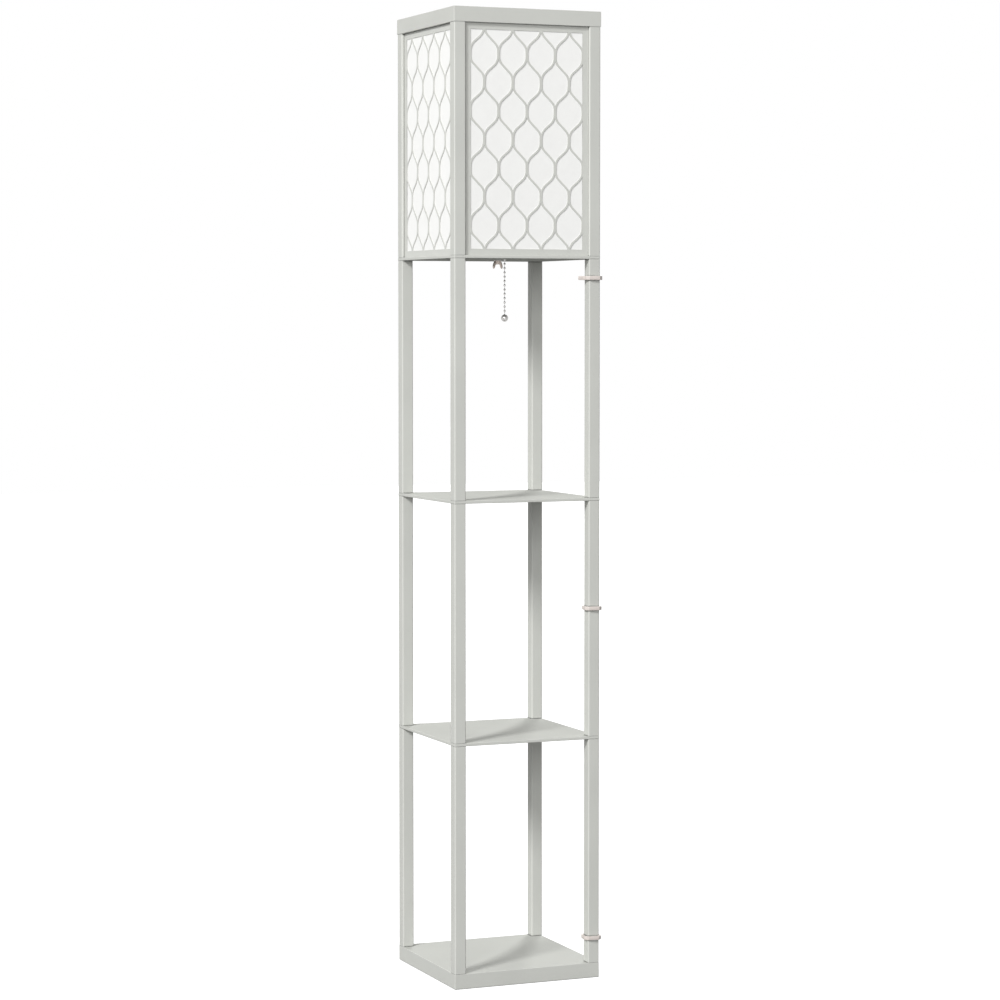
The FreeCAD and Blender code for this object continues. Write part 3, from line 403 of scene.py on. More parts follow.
def plated(name, colour, roughness, tarnish=0.8):
    """Metal with a fine cloudiness in its colour, gloss and relief, down to a tarnished share."""
    material, tree, shader = new_material(name)
    cloud = piece_noise(tree, 260, 6)
    feed(tree, colour_mix(tree, value_range(tree, cloud, 0, 1, 0.3, 0.7), shade(colour, tarnish),
                          colour), shader.inputs["Base Color"])
    feed(tree, value_range(tree, cloud, roughness + 0.1, roughness - 0.06),
         shader.inputs["Roughness"])
    shader.inputs["Metallic"].default_value = 1
    bump(tree, cloud, CLOUD_DEPTH, shader)
    return material


zinc = plated("zinc_plate", ZINC, 0.34)
for fastener in ("base_bolts", "lower_shelf_rods", "middle_shelf_rods", "lamp_plate_rods",
                 "cap_screws"):
    dress(eased_copy(fastener, f"plated_{fastener}", FINE_EDGE), "frame", zinc)


# ------------------------------------------------------------------ shelves and lamp plate
# 5 mm boards in the same foil, each clamped between two tiers of posts by the rods through its
# corners. The lamp plate also carries the lamp holder, the chain's ferrule and the cord's grommet.

for thin_board in ("lower_shelf", "middle_shelf", "lamp_plate"):
    dress(eased_copy(thin_board, f"foiled_{thin_board}", EASED_EDGE), "frame", foil_on_boards)


# ------------------------------------------------------------------ posts
# Sixteen square bars, just under 20 mm, wrapped in foil with its pores along the bar. The shade's
# posts have grooves for the lattice and the sheet.

foil_on_posts = foil("foil_along_posts", (PORES_ACROSS, PORES_ACROSS, PORES_ALONG))
for tier in ("lower", "middle", "upper", "shade"):
    for corner in ("front_left", "front_right", "back_right", "back_left"):
        bar = f"{tier}_post_{corner}"
        dress(eased_copy(bar, f"foiled_{bar}", EASED_EDGE), "frame", foil_on_posts)


# ------------------------------------------------------------------ cap frame
# A square frame of 25 mm board with a window that lets the heat out and a hand in. Its foil's
# pores run from side to side, as the other boards' do.

dress(eased_copy("cap_frame", "foiled_cap_frame", EASED_EDGE), "frame", foil_on_boards)


# ------------------------------------------------------------------ lattice panels
# Four thin boards, 1 mm, cut out to a net of ogee cells and painted grey. They slide into the
# grooves of the shade's posts. The paint lies thicker and a little darker on their cut edges.

SIDES = ("front", "right", "back", "left")
LATTICE_PITCH = 0.050
LATTICE_PERIOD = 0.09225
STRAND_WIDTH = 0.0032
NODE_WIDTH = 0.0048
CURVED_STRAND = (math.radians(49.5), 0.0033)    # lean, and upright stretch at a node
STRAIGHT_STRAND = (math.radians(45.5), 0.0046)
WINDOW_HALF_WIDTH = 0.0990
WINDOW_HALF_HEIGHT = 0.177
WINDOW_BORDERS = (((1, 0), WINDOW_HALF_WIDTH), ((-1, 0), WINDOW_HALF_WIDTH),
                  ((0, 1), WINDOW_HALF_HEIGHT), ((0, -1), WINDOW_HALF_HEIGHT))
BOARD_EASE = 0.0002
BEND_POINTS = 7


def strand_edge(lean, upright):
    """A cell's edge from its lower point to its right-hand node, as an array of x and z.

    Two arcs of one radius r turn the strand, w wide, from upright to its lean and back. At a node
    its middle runs upright for u, a distance b beside the node's own. With p for half the pitch,
    h for half the period and a for the angle turned, x = b + r - (r + w/2) cos a and
    z = u - h + (r + w/2) sin a at the point, and x = p - b - r + (r - w/2) cos a and
    z = -u - (r - w/2) sin a at the node.
    """
    beside = (NODE_WIDTH - STRAND_WIDTH) / 2
    rise = LATTICE_PERIOD / 2 - 2 * upright
    travel = LATTICE_PITCH / 2 - 2 * beside
    radius = (rise - travel / math.tan(lean)) / (2 * math.tan(lean / 2))
    outside, inside = radius + STRAND_WIDTH / 2, radius - STRAND_WIDTH / 2
    begin = math.acos(1 - (STRAND_WIDTH / 2 - beside) / outside)
    at_point, at_node = np.linspace(begin, lean, BEND_POINTS), np.linspace(lean, 0, BEND_POINTS)
    low = np.stack([beside + radius - outside * np.cos(at_point),
                    upright - LATTICE_PERIOD / 2 + outside * np.sin(at_point)], axis=1)
    high = np.stack([LATTICE_PITCH / 2 - beside - radius + inside * np.cos(at_node),
                     -upright - inside * np.sin(at_node)], axis=1)
    return np.concatenate([low, high])


def ogee_cell():
    """One opening about its middle: a curved edge and a mirrored straight one, turned by half."""
    curved, straight = strand_edge(*CURVED_STRAND), strand_edge(*STRAIGHT_STRAND)
    curved[0, 1] = (curved[0, 1] + straight[0, 1]) / 2
    half = np.concatenate([curved, straight[:0:-1] * (1, -1)])
    return np.concatenate([half, -half])


def cut_off(loop, normal, reach):
    """The part of a closed outline where normal . p <= reach, with its crossings put in."""
    beyond = loop @ np.array(normal) - reach
    beyond_next = np.roll(beyond, -1)
    crosses = beyond * beyond_next < 0
    share = beyond / np.where(crosses, beyond - beyond_next, 1)
    crossing = loop + share[:, None] * (np.roll(loop, -1, axis=0) - loop)
    kept = np.stack([beyond <= 0, crosses], axis=1).reshape(-1)
    return np.stack([loop, crossing], axis=1).reshape(-1, 2)[kept]


def lattice_outlines(board_half_width, board_half_height):
    """The board's outline and those of all its openings, cut off at the window's border."""
    cell = ogee_cell()
    columns = math.ceil(2 * WINDOW_HALF_WIDTH / LATTICE_PITCH)
    rows = math.ceil(2 * WINDOW_HALF_HEIGHT / LATTICE_PERIOD)
    loops = [np.array([(-1, -1), (1, -1), (1, 1), (-1, 1)])
             * (board_half_width, board_half_height)]
    for column in range(-columns, columns + 1):
        for row in range(-rows, rows + 1):
            loop = cell + (column * LATTICE_PITCH / 2, (row + column % 2 / 2) * LATTICE_PERIOD)
            for normal, reach in WINDOW_BORDERS:
                if len(loop):
                    loop = cut_off(loop, normal, reach)
            if len(loop) > 2:
                loops.append(loop)
    return loops


def flat_board(loops, thickness, ease):
    """A board filled between closed outlines, lying about z = 0, its arrises eased.

    Its faces carry the attribute cut_edge, 1 on the walls of the cuts and 0 on the flat sides.
    """
    plan = bpy.data.curves.new("plan", "CURVE")
    plan.dimensions = "2D"
    plan.fill_mode = "BOTH"
    plan.extrude = thickness / 2 - ease
    plan.bevel_depth = ease
    plan.bevel_resolution = 1
    plan.offset = -ease
    for loop in loops:
        spline = plan.splines.new("POLY")
        spline.points.add(len(loop) - 1)
        flat = np.concatenate([loop, np.zeros((len(loop), 1)), np.ones((len(loop), 1))], axis=1)
        spline.points.foreach_set("co", flat.ravel())
        spline.use_cyclic_u = True
    stand_in = bpy.data.objects.new("plan", plan)
    mesh = bpy.data.meshes.new_from_object(stand_in)
    bpy.data.objects.remove(stand_in)
    bpy.data.curves.remove(plan)
    work = bmesh.new()
    work.from_mesh(mesh)
    bmesh.ops.remove_doubles(work, verts=work.verts, dist=MERGE_DISTANCE)
    bmesh.ops.recalc_face_normals(work, faces=work.faces)
    work.to_mesh(mesh)
    work.free()
    normals = np.empty(3 * len(mesh.polygons), np.float32)
    mesh.polygons.foreach_get("normal", normals)
    is_wall = (np.abs(normals.reshape(-1, 3)[:, 2]) < 0.9).astype(np.float32)
    mesh.attributes.new("cut_edge", "FLOAT", "FACE").data.foreach_set("value", is_wall)
    return mesh


def fit(name, mesh, node, body, material):
    """A new piece with this mesh that stands for a node, dressed."""
    piece = laid(name, mesh)
    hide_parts(node)
    dress(piece, body, material)
    return piece


def middle_and_size(node):
    """The middle and the size of a node's box."""
    low, high = (np.array(box_corner) for box_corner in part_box(node))
    return (low + high) / 2, high - low


CUT_EDGE_GREY = (0.47, 0.475, 0.45)
PEEL_DEPTH = 0.00002


def satin_paint(name, colour, cut_colour):
    """Sprayed paint with a faint orange peel, darker where the piece's faces are cut edges."""
    material, tree, shader = new_material(name)
    peel = piece_noise(tree, 700, 2)
    cut = tree.nodes.new("ShaderNodeAttribute")
    cut.attribute_name = "cut_edge"
    coat = colour_mix(tree, value_range(tree, piece_noise(tree, 25, 3), 0, 1, *NOISE_BULK), colour,
                      shade(colour, 1.03))
    feed(tree, colour_mix(tree, cut.outputs["Fac"], coat, cut_colour), shader.inputs["Base Color"])
    feed(tree, value_range(tree, peel, 0.42, 0.50), shader.inputs["Roughness"])
    shader.inputs["Specular IOR Level"].default_value = 0.4
    bump(tree, peel, PEEL_DEPTH, shader)
    return material


lattice_paint = satin_paint("lattice_paint", FOIL_GREY, CUT_EDGE_GREY)
panel_middle, panel_size = middle_and_size("lattice_panel_front")
stood_up = Matrix.Translation(panel_middle) @ Matrix.Rotation(math.radians(90), 4, "X")
for index, side in enumerate(SIDES):
    board = flat_board(lattice_outlines(panel_size[0] / 2, panel_size[2] / 2), panel_size[1],
                       BOARD_EASE)
    board.transform(Matrix.Rotation(math.radians(90 * index), 4, "Z") @ stood_up)
    fit(f"painted_lattice_{side}", board, f"lattice_panel_{side}", "frame", lattice_paint)


# ------------------------------------------------------------------ white sheets
# 1 mm white sheets stand behind the lattice in the same grooves. They are pressed from fibres, so
# their face is matt and faintly uneven, like thick paper.

SHEET_WHITE = (0.865, 0.865, 0.85)
FIBRE_DEPTH = 0.00004


def fibre_sheet(name, white):
    """Matt white sheet: short crossing fibres in its relief and a faint cloud in its white."""
    material, tree, shader = new_material(name)
    fibres = piece_noise(tree, 900, 3, Distortion=2)
    feed(tree, colour_mix(tree, value_range(tree, piece_noise(tree, 60, 6), 0, 1, 0.35, 0.6),
                          shade(white, 0.985), white), shader.inputs["Base Color"])
    feed(tree, value_range(tree, fibres, 0.62, 0.75), shader.inputs["Roughness"])
    shader.inputs["Specular IOR Level"].default_value = 0.25
    bump(tree, fibres, FIBRE_DEPTH, shader)
    return material


white_fibre = fibre_sheet("white_fibre_sheet", SHEET_WHITE)
for side in SIDES:
    nodes[f"diffuser_{side}"].material_slots[0].material = white_fibre


# ------------------------------------------------------------------ stud, washer and wing nut
# A zinc-plated stud holds the lamp holder's cup down on the plate. Under the plate lies a washer,
# and a cast wing nut, dulled to a warm grey, clamps it. Its wings splay downward.

AXIS_UP = np.array([(1, 0, 0), (0, 1, 0), (0, 0, 1)])
TURNED_SIDES = 32
ROUNDING_STEPS = 4
ROUNDING_SHARE = 0.48                           # the most of a side that one corner takes


def grid_mesh(points, closed_along=False):
    """A smooth mesh over a grid of points that closes round its second direction.

    Rows that shrink to a point become poles. Faces face outwards.
    """
    rows, columns = points.shape[:2]
    at = np.arange(rows * columns).reshape(rows, columns)
    at = np.concatenate([at, at[:, :1]], axis=1)
    if closed_along:
        at = np.concatenate([at, at[:1]], axis=0)
    faces = np.stack([at[:-1, :-1], at[:-1, 1:], at[1:, 1:], at[1:, :-1]], axis=-1)
    mesh = bpy.data.meshes.new("grid")
    mesh.from_pydata(points.reshape(-1, 3).tolist(), [], faces.reshape(-1, 4).tolist())
    work = bmesh.new()
    work.from_mesh(mesh)
    bmesh.ops.remove_doubles(work, verts=work.verts, dist=MERGE_DISTANCE)
    bmesh.ops.recalc_face_normals(work, faces=work.faces)
    for face in work.faces:
        face.smooth = True
    work.to_mesh(mesh)
    work.free()
    return mesh


def turned(profile, centre, axes=AXIS_UP, closed=False, sides=TURNED_SIDES):
    """A turned piece, its profile given as radius r and height h.

    A place of the profile at angle t goes to r cos t, r sin t and h along the three axes.
    """
    profile = np.array(profile, float)
    angle = np.linspace(0, 2 * np.pi, sides, endpoint=False)
    local = np.stack([profile[:, :1] * np.cos(angle), profile[:, :1] * np.sin(angle),
                      profile[:, 1:] + 0 * angle], axis=-1)
    return grid_mesh(local @ axes + np.array(centre), closed)


def rounded(corners, radius):
    """A closed outline whose corners give way to quadratic curves that start a radius away."""
    corners = np.array(corners, float)
    before = np.roll(corners, 1, axis=0) - corners
    after = np.roll(corners, -1, axis=0) - corners
    before_length = np.linalg.norm(before, axis=1, keepdims=True)
    after_length = np.linalg.norm(after, axis=1, keepdims=True)
    reach = np.minimum(radius, ROUNDING_SHARE * np.minimum(before_length, after_length))
    start = corners + before / before_length * reach
    end = corners + after / after_length * reach
    t = np.linspace(0, 1, ROUNDING_STEPS + 1)[None, :, None]
    curve = ((1 - t) ** 2 * start[:, None] + 2 * t * (1 - t) * corners[:, None]
             + t ** 2 * end[:, None])
    return curve.reshape(-1, 2)


def headings(path):
    """The direction of unit length at each place of a path."""
    along = np.gradient(path, axis=0)
    return along / np.linalg.norm(along, axis=1, keepdims=True)


WING_SIDES = 20
SQUARER = 0.6


def carried(path, widths, thicknesses, centre, turn):
    """A bar carried along a path in an upright plane, its section a soft-cornered ellipse.

    At each place (x, z) of the path, with n the direction across it in the plane, the surface is
    path + n w c(t) / 2 + y d s(t) / 2, where c and s are cosine and sine drawn out to a squarer
    section by a power below 1.
    """
    along = headings(path)
    angle = np.linspace(0, 2 * np.pi, WING_SIDES, endpoint=False)
    across = np.sign(np.cos(angle)) * np.abs(np.cos(angle)) ** SQUARER
    deep = np.sign(np.sin(angle)) * np.abs(np.sin(angle)) ** SQUARER
    x = path[:, :1] + along[:, 1:] * widths[:, None] / 2 * across
    z = path[:, 1:] - along[:, :1] * widths[:, None] / 2 * across
    y = thicknesses[:, None] / 2 * deep
    points = np.stack([x * math.cos(turn) - y * math.sin(turn),
                       x * math.sin(turn) + y * math.cos(turn), z], axis=-1)
    return grid_mesh(points + np.array(centre))


def bezier(points, count):
    """Places along a cubic curve: its four points weighted by the binomials of t and 1 - t."""
    t = np.linspace(0, 1, count)[:, None]
    weights = [(1 - t) ** 3, 3 * t * (1 - t) ** 2, 3 * t ** 2 * (1 - t), t ** 3]
    return sum(weight * point for weight, point in zip(weights, points))


def joined(meshes):
    """One mesh out of several."""
    work = bmesh.new()
    for mesh in meshes:
        work.from_mesh(mesh)
    whole = bpy.data.meshes.new("joined")
    work.to_mesh(whole)
    work.free()
    return whole


plate_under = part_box("lamp_plate")[0][2]
NUT_BORE, HUB_BOTTOM = 0.00315, -0.0065
HUB_PROFILE = [(NUT_BORE, 0), (0.0056, 0), (0.0056, -0.0012), (0.0048, HUB_BOTTOM),
               (NUT_BORE, HUB_BOTTOM)]
NUT_TURN = math.radians(17)
WING_SPINE = np.array([(0.0030, -0.0030), (0.0062, -0.0036), (0.0082, -0.0072),
                       (0.0086, -0.0138)])
WING_WIDTHS = (0.0062, 0.0038)                  # at the hub and at the tip
WING_THICKNESSES = (0.0036, 0.0026)
WING_SECTIONS = 28
ROUND_END = 0.78                                # share of a wing after which its end rounds off
TIP_THICKNESS = 0.35                            # share of the thickness that the very end keeps
WING_GREY = (0.50, 0.44, 0.40)
WASHER_BORE, WASHER_RIM, WASHER_THICKNESS = 0.0032, 0.0065, 0.001

wing_reach = np.linspace(0, 1, WING_SECTIONS)
round_off = np.sqrt(1 - (np.clip(wing_reach - ROUND_END, 0, None) / (1 - ROUND_END)) ** 2)
wing_widths = np.linspace(*WING_WIDTHS, WING_SECTIONS) * round_off
wing_thicknesses = (np.linspace(*WING_THICKNESSES, WING_SECTIONS)
                    * (TIP_THICKNESS + (1 - TIP_THICKNESS) * round_off))
nut_centre = (0, 0, plate_under - WASHER_THICKNESS)
nut_parts = [turned(rounded(HUB_PROFILE, 0.0007), nut_centre, closed=True)]
for way in (1, -1):
    nut_parts.append(carried(bezier(WING_SPINE * (way, 1), WING_SECTIONS), wing_widths,
                             wing_thicknesses, nut_centre, NUT_TURN))
wing_metal = plated("dulled_cast_metal", WING_GREY, 0.46, tarnish=0.62)
fit("cast_wing_nut", joined(nut_parts), "wing_nut", "frame", wing_metal)

washer_profile = [(WASHER_BORE, 0), (WASHER_RIM, 0), (WASHER_RIM, -WASHER_THICKNESS),
                  (WASHER_BORE, -WASHER_THICKNESS)]
fit("plate_washer_turned", turned(rounded(washer_profile, 0.0002), (0, 0, plate_under),
                                  closed=True), "plate_washer", "frame", zinc)
dress(eased_copy("holder_stud", "plated_stud", FINE_EDGE), "frame", zinc)


# ------------------------------------------------------------------ lamp holder and switch
# Off-white moulded cup and shell. Inside, a brown moulded disc carries two cheeks, the lever and
# cam of the pull switch on a steel pin, brass contacts and the threaded sleeve for the bulb.

HOLDER_WHITE = (0.80, 0.785, 0.73)
SWITCH_BROWN = (0.23, 0.145, 0.085)
BRASS = (0.80, 0.62, 0.32)
ALUMINIUM = (0.80, 0.80, 0.79)
MOULDED_ARRIS = 0.0004
MOULD_GRAIN_DEPTH = 0.00003


def moulded(name, colour, roughness, grain=1600.0):
    """Moulded plastic: a fine grain from the mould, faint flow clouds, and arrises paler where
    wear polished them and where a painted highlight lies.
    """
    material, tree, shader = new_material(name)
    spark = piece_noise(tree, grain, 2)
    flow = piece_noise(tree, 70, 4, Distortion=1.2)
    wear_and_highlight = place_group(tree, ARRIS_WEAR_AND_HIGHLIGHT, Radius=MOULDED_ARRIS, Patchiness=0.4)
    clouded = colour_mix(tree, value_range(tree, flow, 0, 1, *NOISE_BULK), shade(colour, 0.93),
                         colour)
    # Paler arrises: partly rubbed wear, partly a painted highlight.
    feed(tree, colour_mix(tree, wear_and_highlight["Mask"], clouded, shade(colour, 1.08)),
         shader.inputs["Base Color"])
    feed(tree, value_range(tree, spark, roughness + 0.08, roughness - 0.08),
         shader.inputs["Roughness"])
    bump(tree, spark, MOULD_GRAIN_DEPTH, shader)
    return material


holder_plastic = moulded("off_white_moulding", HOLDER_WHITE, 0.42)
switch_plastic = moulded("brown_moulding", SWITCH_BROWN, 0.38)
brass = plated("rolled_brass", BRASS, 0.30)
for node, body, material, slot in (
        ("holder_cup", "frame", holder_plastic, "holder_plastic"),
        ("holder_shell", "frame", holder_plastic, "holder_plastic"),
        ("switch_block", "frame", switch_plastic, "switch_plastic"),
        ("switch_lever", "lever", switch_plastic, "switch_plastic"),
        ("switch_cam", "lever", switch_plastic, "switch_plastic"),
        ("contact_strip", "frame", brass, "contact_brass"),
        ("centre_contact", "frame", brass, "contact_brass"),
        ("pivot_pin", "frame", zinc, "pin_steel")):
    dress(eased_copy(node, f"finished_{node}", FINE_EDGE), body, material)

SLEEVE_RADIUS = 0.01345
SLEEVE_WALL = 0.0003
SLEEVE_ROWS, SLEEVE_SIDES = 97, 72
THREAD_PITCH = 0.0036
THREAD_WAVE = 0.00035
THREAD_RUNOUT = 0.002                           # the thread fades over this much at both rims
sleeve_middle, sleeve_size = middle_and_size("screw_sleeve")
sleeve_height = np.linspace(0, sleeve_size[2], SLEEVE_ROWS)[:, None]
sleeve_angle = np.linspace(0, 2 * np.pi, SLEEVE_SIDES, endpoint=False)[None, :]
thread_fade = np.clip(np.minimum(sleeve_height, sleeve_size[2] - sleeve_height)
                      / THREAD_RUNOUT, 0, 1)
# The radius waves in and out along a line that climbs one pitch a turn.
sleeve_radius = SLEEVE_RADIUS + THREAD_WAVE * thread_fade * np.sin(
    2 * np.pi * sleeve_height / THREAD_PITCH - sleeve_angle)
sleeve_points = np.stack([sleeve_radius * np.cos(sleeve_angle),
                          sleeve_radius * np.sin(sleeve_angle),
                          sleeve_middle[2] - sleeve_size[2] / 2 + sleeve_height
                          + 0 * sleeve_angle], axis=-1)
sleeve = fit("threaded_sleeve", grid_mesh(sleeve_points), "screw_sleeve", "frame",
             plated("rolled_aluminium", ALUMINIUM, 0.28, tarnish=0.9))
sleeve_wall = sleeve.modifiers.new("wall", "SOLIDIFY")
sleeve_wall.thickness = SLEEVE_WALL
sleeve_wall.offset = 0


# ------------------------------------------------------------------ chain guide, spring and chain
# A flared tube of nickel-plated brass leads the chain out of the cup. A coil spring round the
# chain pushes the lever back. The beads are hollow balls on short wires, the pull a plated ball.

CHAIN_Y = -0.030
CHAIN_LINE = 1.212
AXIS_FORWARD = np.array([(1, 0, 0), (0, 0, 1), (0, -1, 0)])
NICKEL = (0.50, 0.49, 0.48)
GUIDE_PROFILE = [(0.0025, 0.018), (0.0038, 0.018), (0.0038, 0.0246), (0.0054, 0.0278),
                 (0.0048, 0.028), (0.0027, 0.0262), (0.0025, 0.0246)]
nickel = plated("nickel_plate", NICKEL, 0.31)
fit("flared_chain_guide", turned(rounded(GUIDE_PROFILE, 0.0006), (0, 0, CHAIN_LINE), AXIS_FORWARD,
                                 closed=True), "chain_guide", "frame", nickel)

SPRING_RADIUS, SPRING_WIRE = 0.0031, 0.00027
SPRING_TURNS = 7
SPRING_START, SPRING_END = -0.0026, -0.0174
STEPS_A_TURN = 24
WIRE_SIDES = 10
CLOSED_ENDS = 0.6                               # 0 for an even rise, 1 for end turns that lie flat
spring_share = np.linspace(0, 1, SPRING_TURNS * STEPS_A_TURN)[:, None]
# The rise along the axis goes slowly at both ends, and half way as well.
spring_rise = spring_share - np.sin(4 * np.pi * spring_share) / (4 * np.pi) * CLOSED_ENDS
spring_angle = 2 * np.pi * SPRING_TURNS * spring_share
wire_angle = np.linspace(0, 2 * np.pi, WIRE_SIDES, endpoint=False)[None, :]
wire_out = SPRING_RADIUS + SPRING_WIRE * np.cos(wire_angle)
spring_points = np.stack([wire_out * np.cos(spring_angle),
                          SPRING_START + (SPRING_END - SPRING_START) * spring_rise
                          + SPRING_WIRE * np.sin(wire_angle),
                          CHAIN_LINE + wire_out * np.sin(spring_angle)], axis=-1)
spring = fit("coiled_return_spring", grid_mesh(spring_points), "return_spring", "frame", zinc)
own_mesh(spring)

BEAD_RADIUS = 0.0019
BEAD_PITCH = 0.0071
WIRE_RADIUS = 0.0004
bead_angle = np.radians(np.linspace(28, 152, 10))
bead_rim = np.array([(WIRE_RADIUS, 0.00140), (0.00062, 0.00146), (0.00080, 0.00162)])
bead_round = np.stack([BEAD_RADIUS * np.sin(bead_angle), BEAD_RADIUS * np.cos(bead_angle)], axis=1)
bead_profile = np.concatenate([bead_rim, bead_round, bead_rim[::-1] * (1, -1)])


def beaded(places, start, end, centre, axes=AXIS_UP):
    """A length of chain about one axis: the bead's profile repeated at its places, wire between.

    The wire ends in half balls of its own radius about start and end.
    """
    swing = np.radians(np.linspace(0, 90, 5))
    cap = np.stack([WIRE_RADIUS * np.sin(swing), WIRE_RADIUS * np.cos(swing)], axis=1)
    beads = [bead_profile + (0, place) for place in places]
    whole = [cap + (0, start)] + beads + [cap[::-1] * (1, -1) + (0, end)]
    return turned(np.concatenate(whole), centre, axes, sides=16)


def bent_wire(path):
    """A wire carried along a path in the plane x = 0, round in section and closed at its ends.

    At a place (y, z) with heading (dy, dz), radius r and angle t, the surface is
    (r cos t, y + r sin t dz, z - r sin t dy).
    """
    along = headings(path)
    angle = np.linspace(0, 2 * np.pi, WIRE_SIDES, endpoint=False)
    radius = np.full((len(path), 1), WIRE_RADIUS)
    radius[[0, -1]] = 0
    return grid_mesh(np.stack([radius * np.cos(angle),
                               path[:, :1] + radius * np.sin(angle) * along[:, 1:],
                               path[:, 1:] - radius * np.sin(angle) * along[:, :1]], axis=-1))


# Distances forward of the lamp's axis.
INNER_FRONT, INNER_BEAD, INNER_BACK = 0.0245, 0.022, 0.0024
fit("inner_bead_chain", beaded(INNER_BEAD - BEAD_PITCH * np.arange(3), INNER_FRONT, INNER_BACK,
                               (0, 0, CHAIN_LINE), AXIS_FORWARD),
    "chain_in_holder", "chain_inner", nickel)

# Three lengths hang below the guide and part half way between two beads. The upper one also has
# the wire that leads up from its beads, round a quarter turn and back into the guide's mouth.
BEND_RADIUS = 0.0029
BEND_FOOT = 0.009                               # the bending wire starts this far under the line
BEND_REACH = 0.0016                             # and runs on this far inside the guide
TOP_BEAD = CHAIN_LINE - BEND_RADIUS
WIRE_ABOVE = 0.0015                             # stands out over the uppermost bead's middle
BALL_REACH = 0.0065                             # from the ball's middle up to the last wire's end
UPPER_BEADS, MIDDLE_BEADS, LOWER_BEADS = 5, 4, 6
bead_heights = TOP_BEAD - BEAD_PITCH * np.arange(UPPER_BEADS + MIDDLE_BEADS + LOWER_BEADS)
above_lower = UPPER_BEADS + MIDDLE_BEADS
upper_pivot = TOP_BEAD - BEAD_PITCH * (UPPER_BEADS - 0.5)
lower_pivot = TOP_BEAD - BEAD_PITCH * (above_lower - 0.5)
ball_centre = middle_and_size("pull_ball")[0][2]
bend = np.radians(np.linspace(0, 90, 12))
bend_path = np.concatenate([
    [(CHAIN_Y, CHAIN_LINE - BEND_FOOT)],
    np.stack([CHAIN_Y + BEND_RADIUS * (1 - np.cos(bend)),
              TOP_BEAD + BEND_RADIUS * np.sin(bend)], axis=1),
    [(CHAIN_Y + BEND_RADIUS + BEND_REACH, CHAIN_LINE)]])
hung = (0, CHAIN_Y, 0)
upper_length = beaded(bead_heights[:UPPER_BEADS], TOP_BEAD + WIRE_ABOVE, upper_pivot, hung)
middle_length = beaded(bead_heights[UPPER_BEADS:above_lower], upper_pivot, lower_pivot, hung)
lower_length = beaded(bead_heights[above_lower:], lower_pivot, ball_centre + BALL_REACH, hung)
for name, mesh, node, body in (
        ("upper_bead_chain", joined([upper_length, bent_wire(bend_path)]), "chain_upper",
         "chain_top"),
        ("middle_bead_chain", middle_length, "chain_middle", "chain_mid"),
        ("lower_bead_chain", lower_length, "chain_lower", "chain_end")):
    fit(name, mesh, node, body, nickel)

BALL_RADIUS = 0.006
NECK_PROFILE = [(0, 0.0066), (WIRE_RADIUS, 0.0066), (0.0012, 0.0066), (0.0015, 0.0063),
                (0.0015, 0.0057)]
ball_angle = np.radians(np.linspace(17, 180, 26))
ball_round = np.stack([BALL_RADIUS * np.sin(ball_angle), BALL_RADIUS * np.cos(ball_angle)], axis=1)
fit("plated_pull_ball", turned(np.concatenate([NECK_PROFILE, ball_round]),
                               (0, CHAIN_Y, ball_centre), sides=40),
    "pull_ball", "chain_end", nickel)

FERRULE_PROFILE = [(0.0025, 0), (0.0037, 0), (0.0037, 0.005), (0.0053, 0.005), (0.0053, 0.0058),
                   (0.0025, 0.0058)]
fit("turned_plate_ferrule", turned(rounded(FERRULE_PROFILE, 0.0004), (0, CHAIN_Y, plate_under),
                                   closed=True), "plate_ferrule", "frame", zinc)


# ------------------------------------------------------------------ cord grommet
# A soft ring of pale rubber lines the cord's hole in the plate's front right corner. Its lip lies
# on the plate.

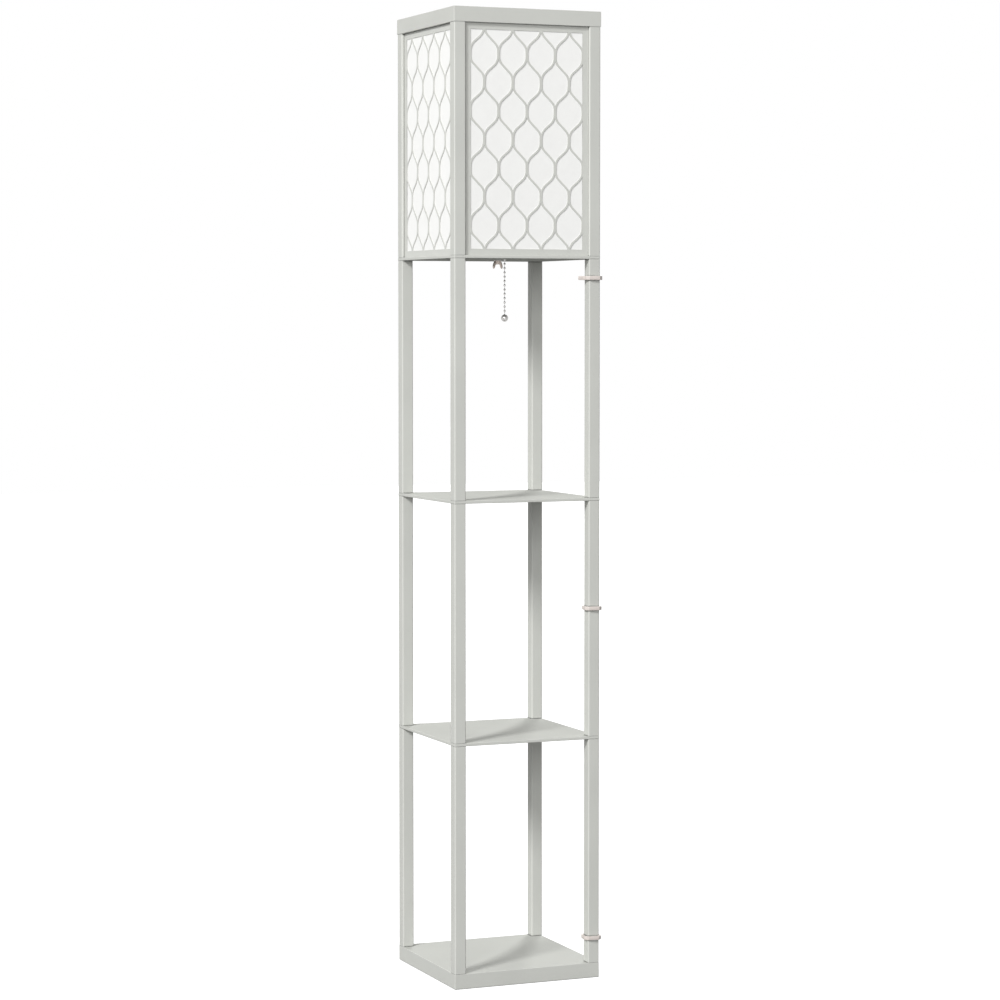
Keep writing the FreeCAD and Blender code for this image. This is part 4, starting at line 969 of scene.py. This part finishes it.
RUBBER_GREY = (0.62, 0.61, 0.58)
GROMMET_PLACE = (0.098, -0.098, plate_under)
GROMMET_PROFILE = [(0.004, 0), (0.006, 0), (0.006, 0.005), (0.008, 0.005), (0.0076, 0.0065),
                   (0.004, 0.0065)]
fit("rubber_grommet", turned(rounded(GROMMET_PROFILE, 0.0008), GROMMET_PLACE, closed=True),
    "cord_grommet", "frame", moulded("pale_rubber", RUBBER_GREY, 0.62, grain=900.0))


# ------------------------------------------------------------------ cord clips
# Three collars of off-white plastic snap round the right front post. Their two prongs end in small
# barbs that keep the cord in.

CLIP_WHITE = (0.62, 0.565, 0.53)
CLIP_EASE = 0.0005
CLIP_CORNER = 0.0009
CLIP_FLAT, CLIP_SLANT, CLIP_WALL = 0.0146, 0.01685, 0.0034
# Distances of a prong's faces from the clip's middle line, and of its end from the post's axis.
PRONG_OUTER, PRONG_INNER, TIP_INNER, BARB_INNER = 0.0041, 0.0025, 0.0030, 0.0019
PRONG_TIP, BARB_POINT, BARB_BACK = 0.0231, 0.0219, 0.0207


def collar_half(flat, slant):
    """Right half of an eight-sided ring: long sides lie one distance out, short ones another."""
    half_long = math.sqrt(2) * slant - flat
    return [(half_long, -flat), (flat, -half_long), (flat, half_long), (half_long, flat)]


clip_right = (collar_half(CLIP_FLAT, CLIP_SLANT)
              + [(PRONG_OUTER, CLIP_FLAT), (PRONG_OUTER, PRONG_TIP), (TIP_INNER, PRONG_TIP),
                 (BARB_INNER, BARB_POINT), (PRONG_INNER, BARB_BACK),
                 (PRONG_INNER, CLIP_FLAT - CLIP_WALL)]
              + collar_half(CLIP_FLAT - CLIP_WALL, CLIP_SLANT - CLIP_WALL)[::-1])
clip_plan = rounded(clip_right + [(-x, y) for x, y in reversed(clip_right)], CLIP_CORNER)
clip_plastic = moulded("clip_moulding", CLIP_WHITE, 0.42)
post_x, post_y = middle_and_size("upper_post_front_right")[0][:2]
for name, body, turn in (("lower", "clip_low", -7.5), ("middle", "clip_mid", -7.5),
                         ("upper", "clip_up", 82.5)):
    clip_middle, clip_size = middle_and_size(f"cord_clip_{name}")
    collar = flat_board([clip_plan], clip_size[2], CLIP_EASE)
    collar.transform(Matrix.Translation((post_x, post_y, clip_middle[2]))
                     @ Matrix.Rotation(math.radians(turn), 4, "Z"))
    fit(f"moulded_clip_{name}", collar, f"cord_clip_{name}", body, clip_plastic)
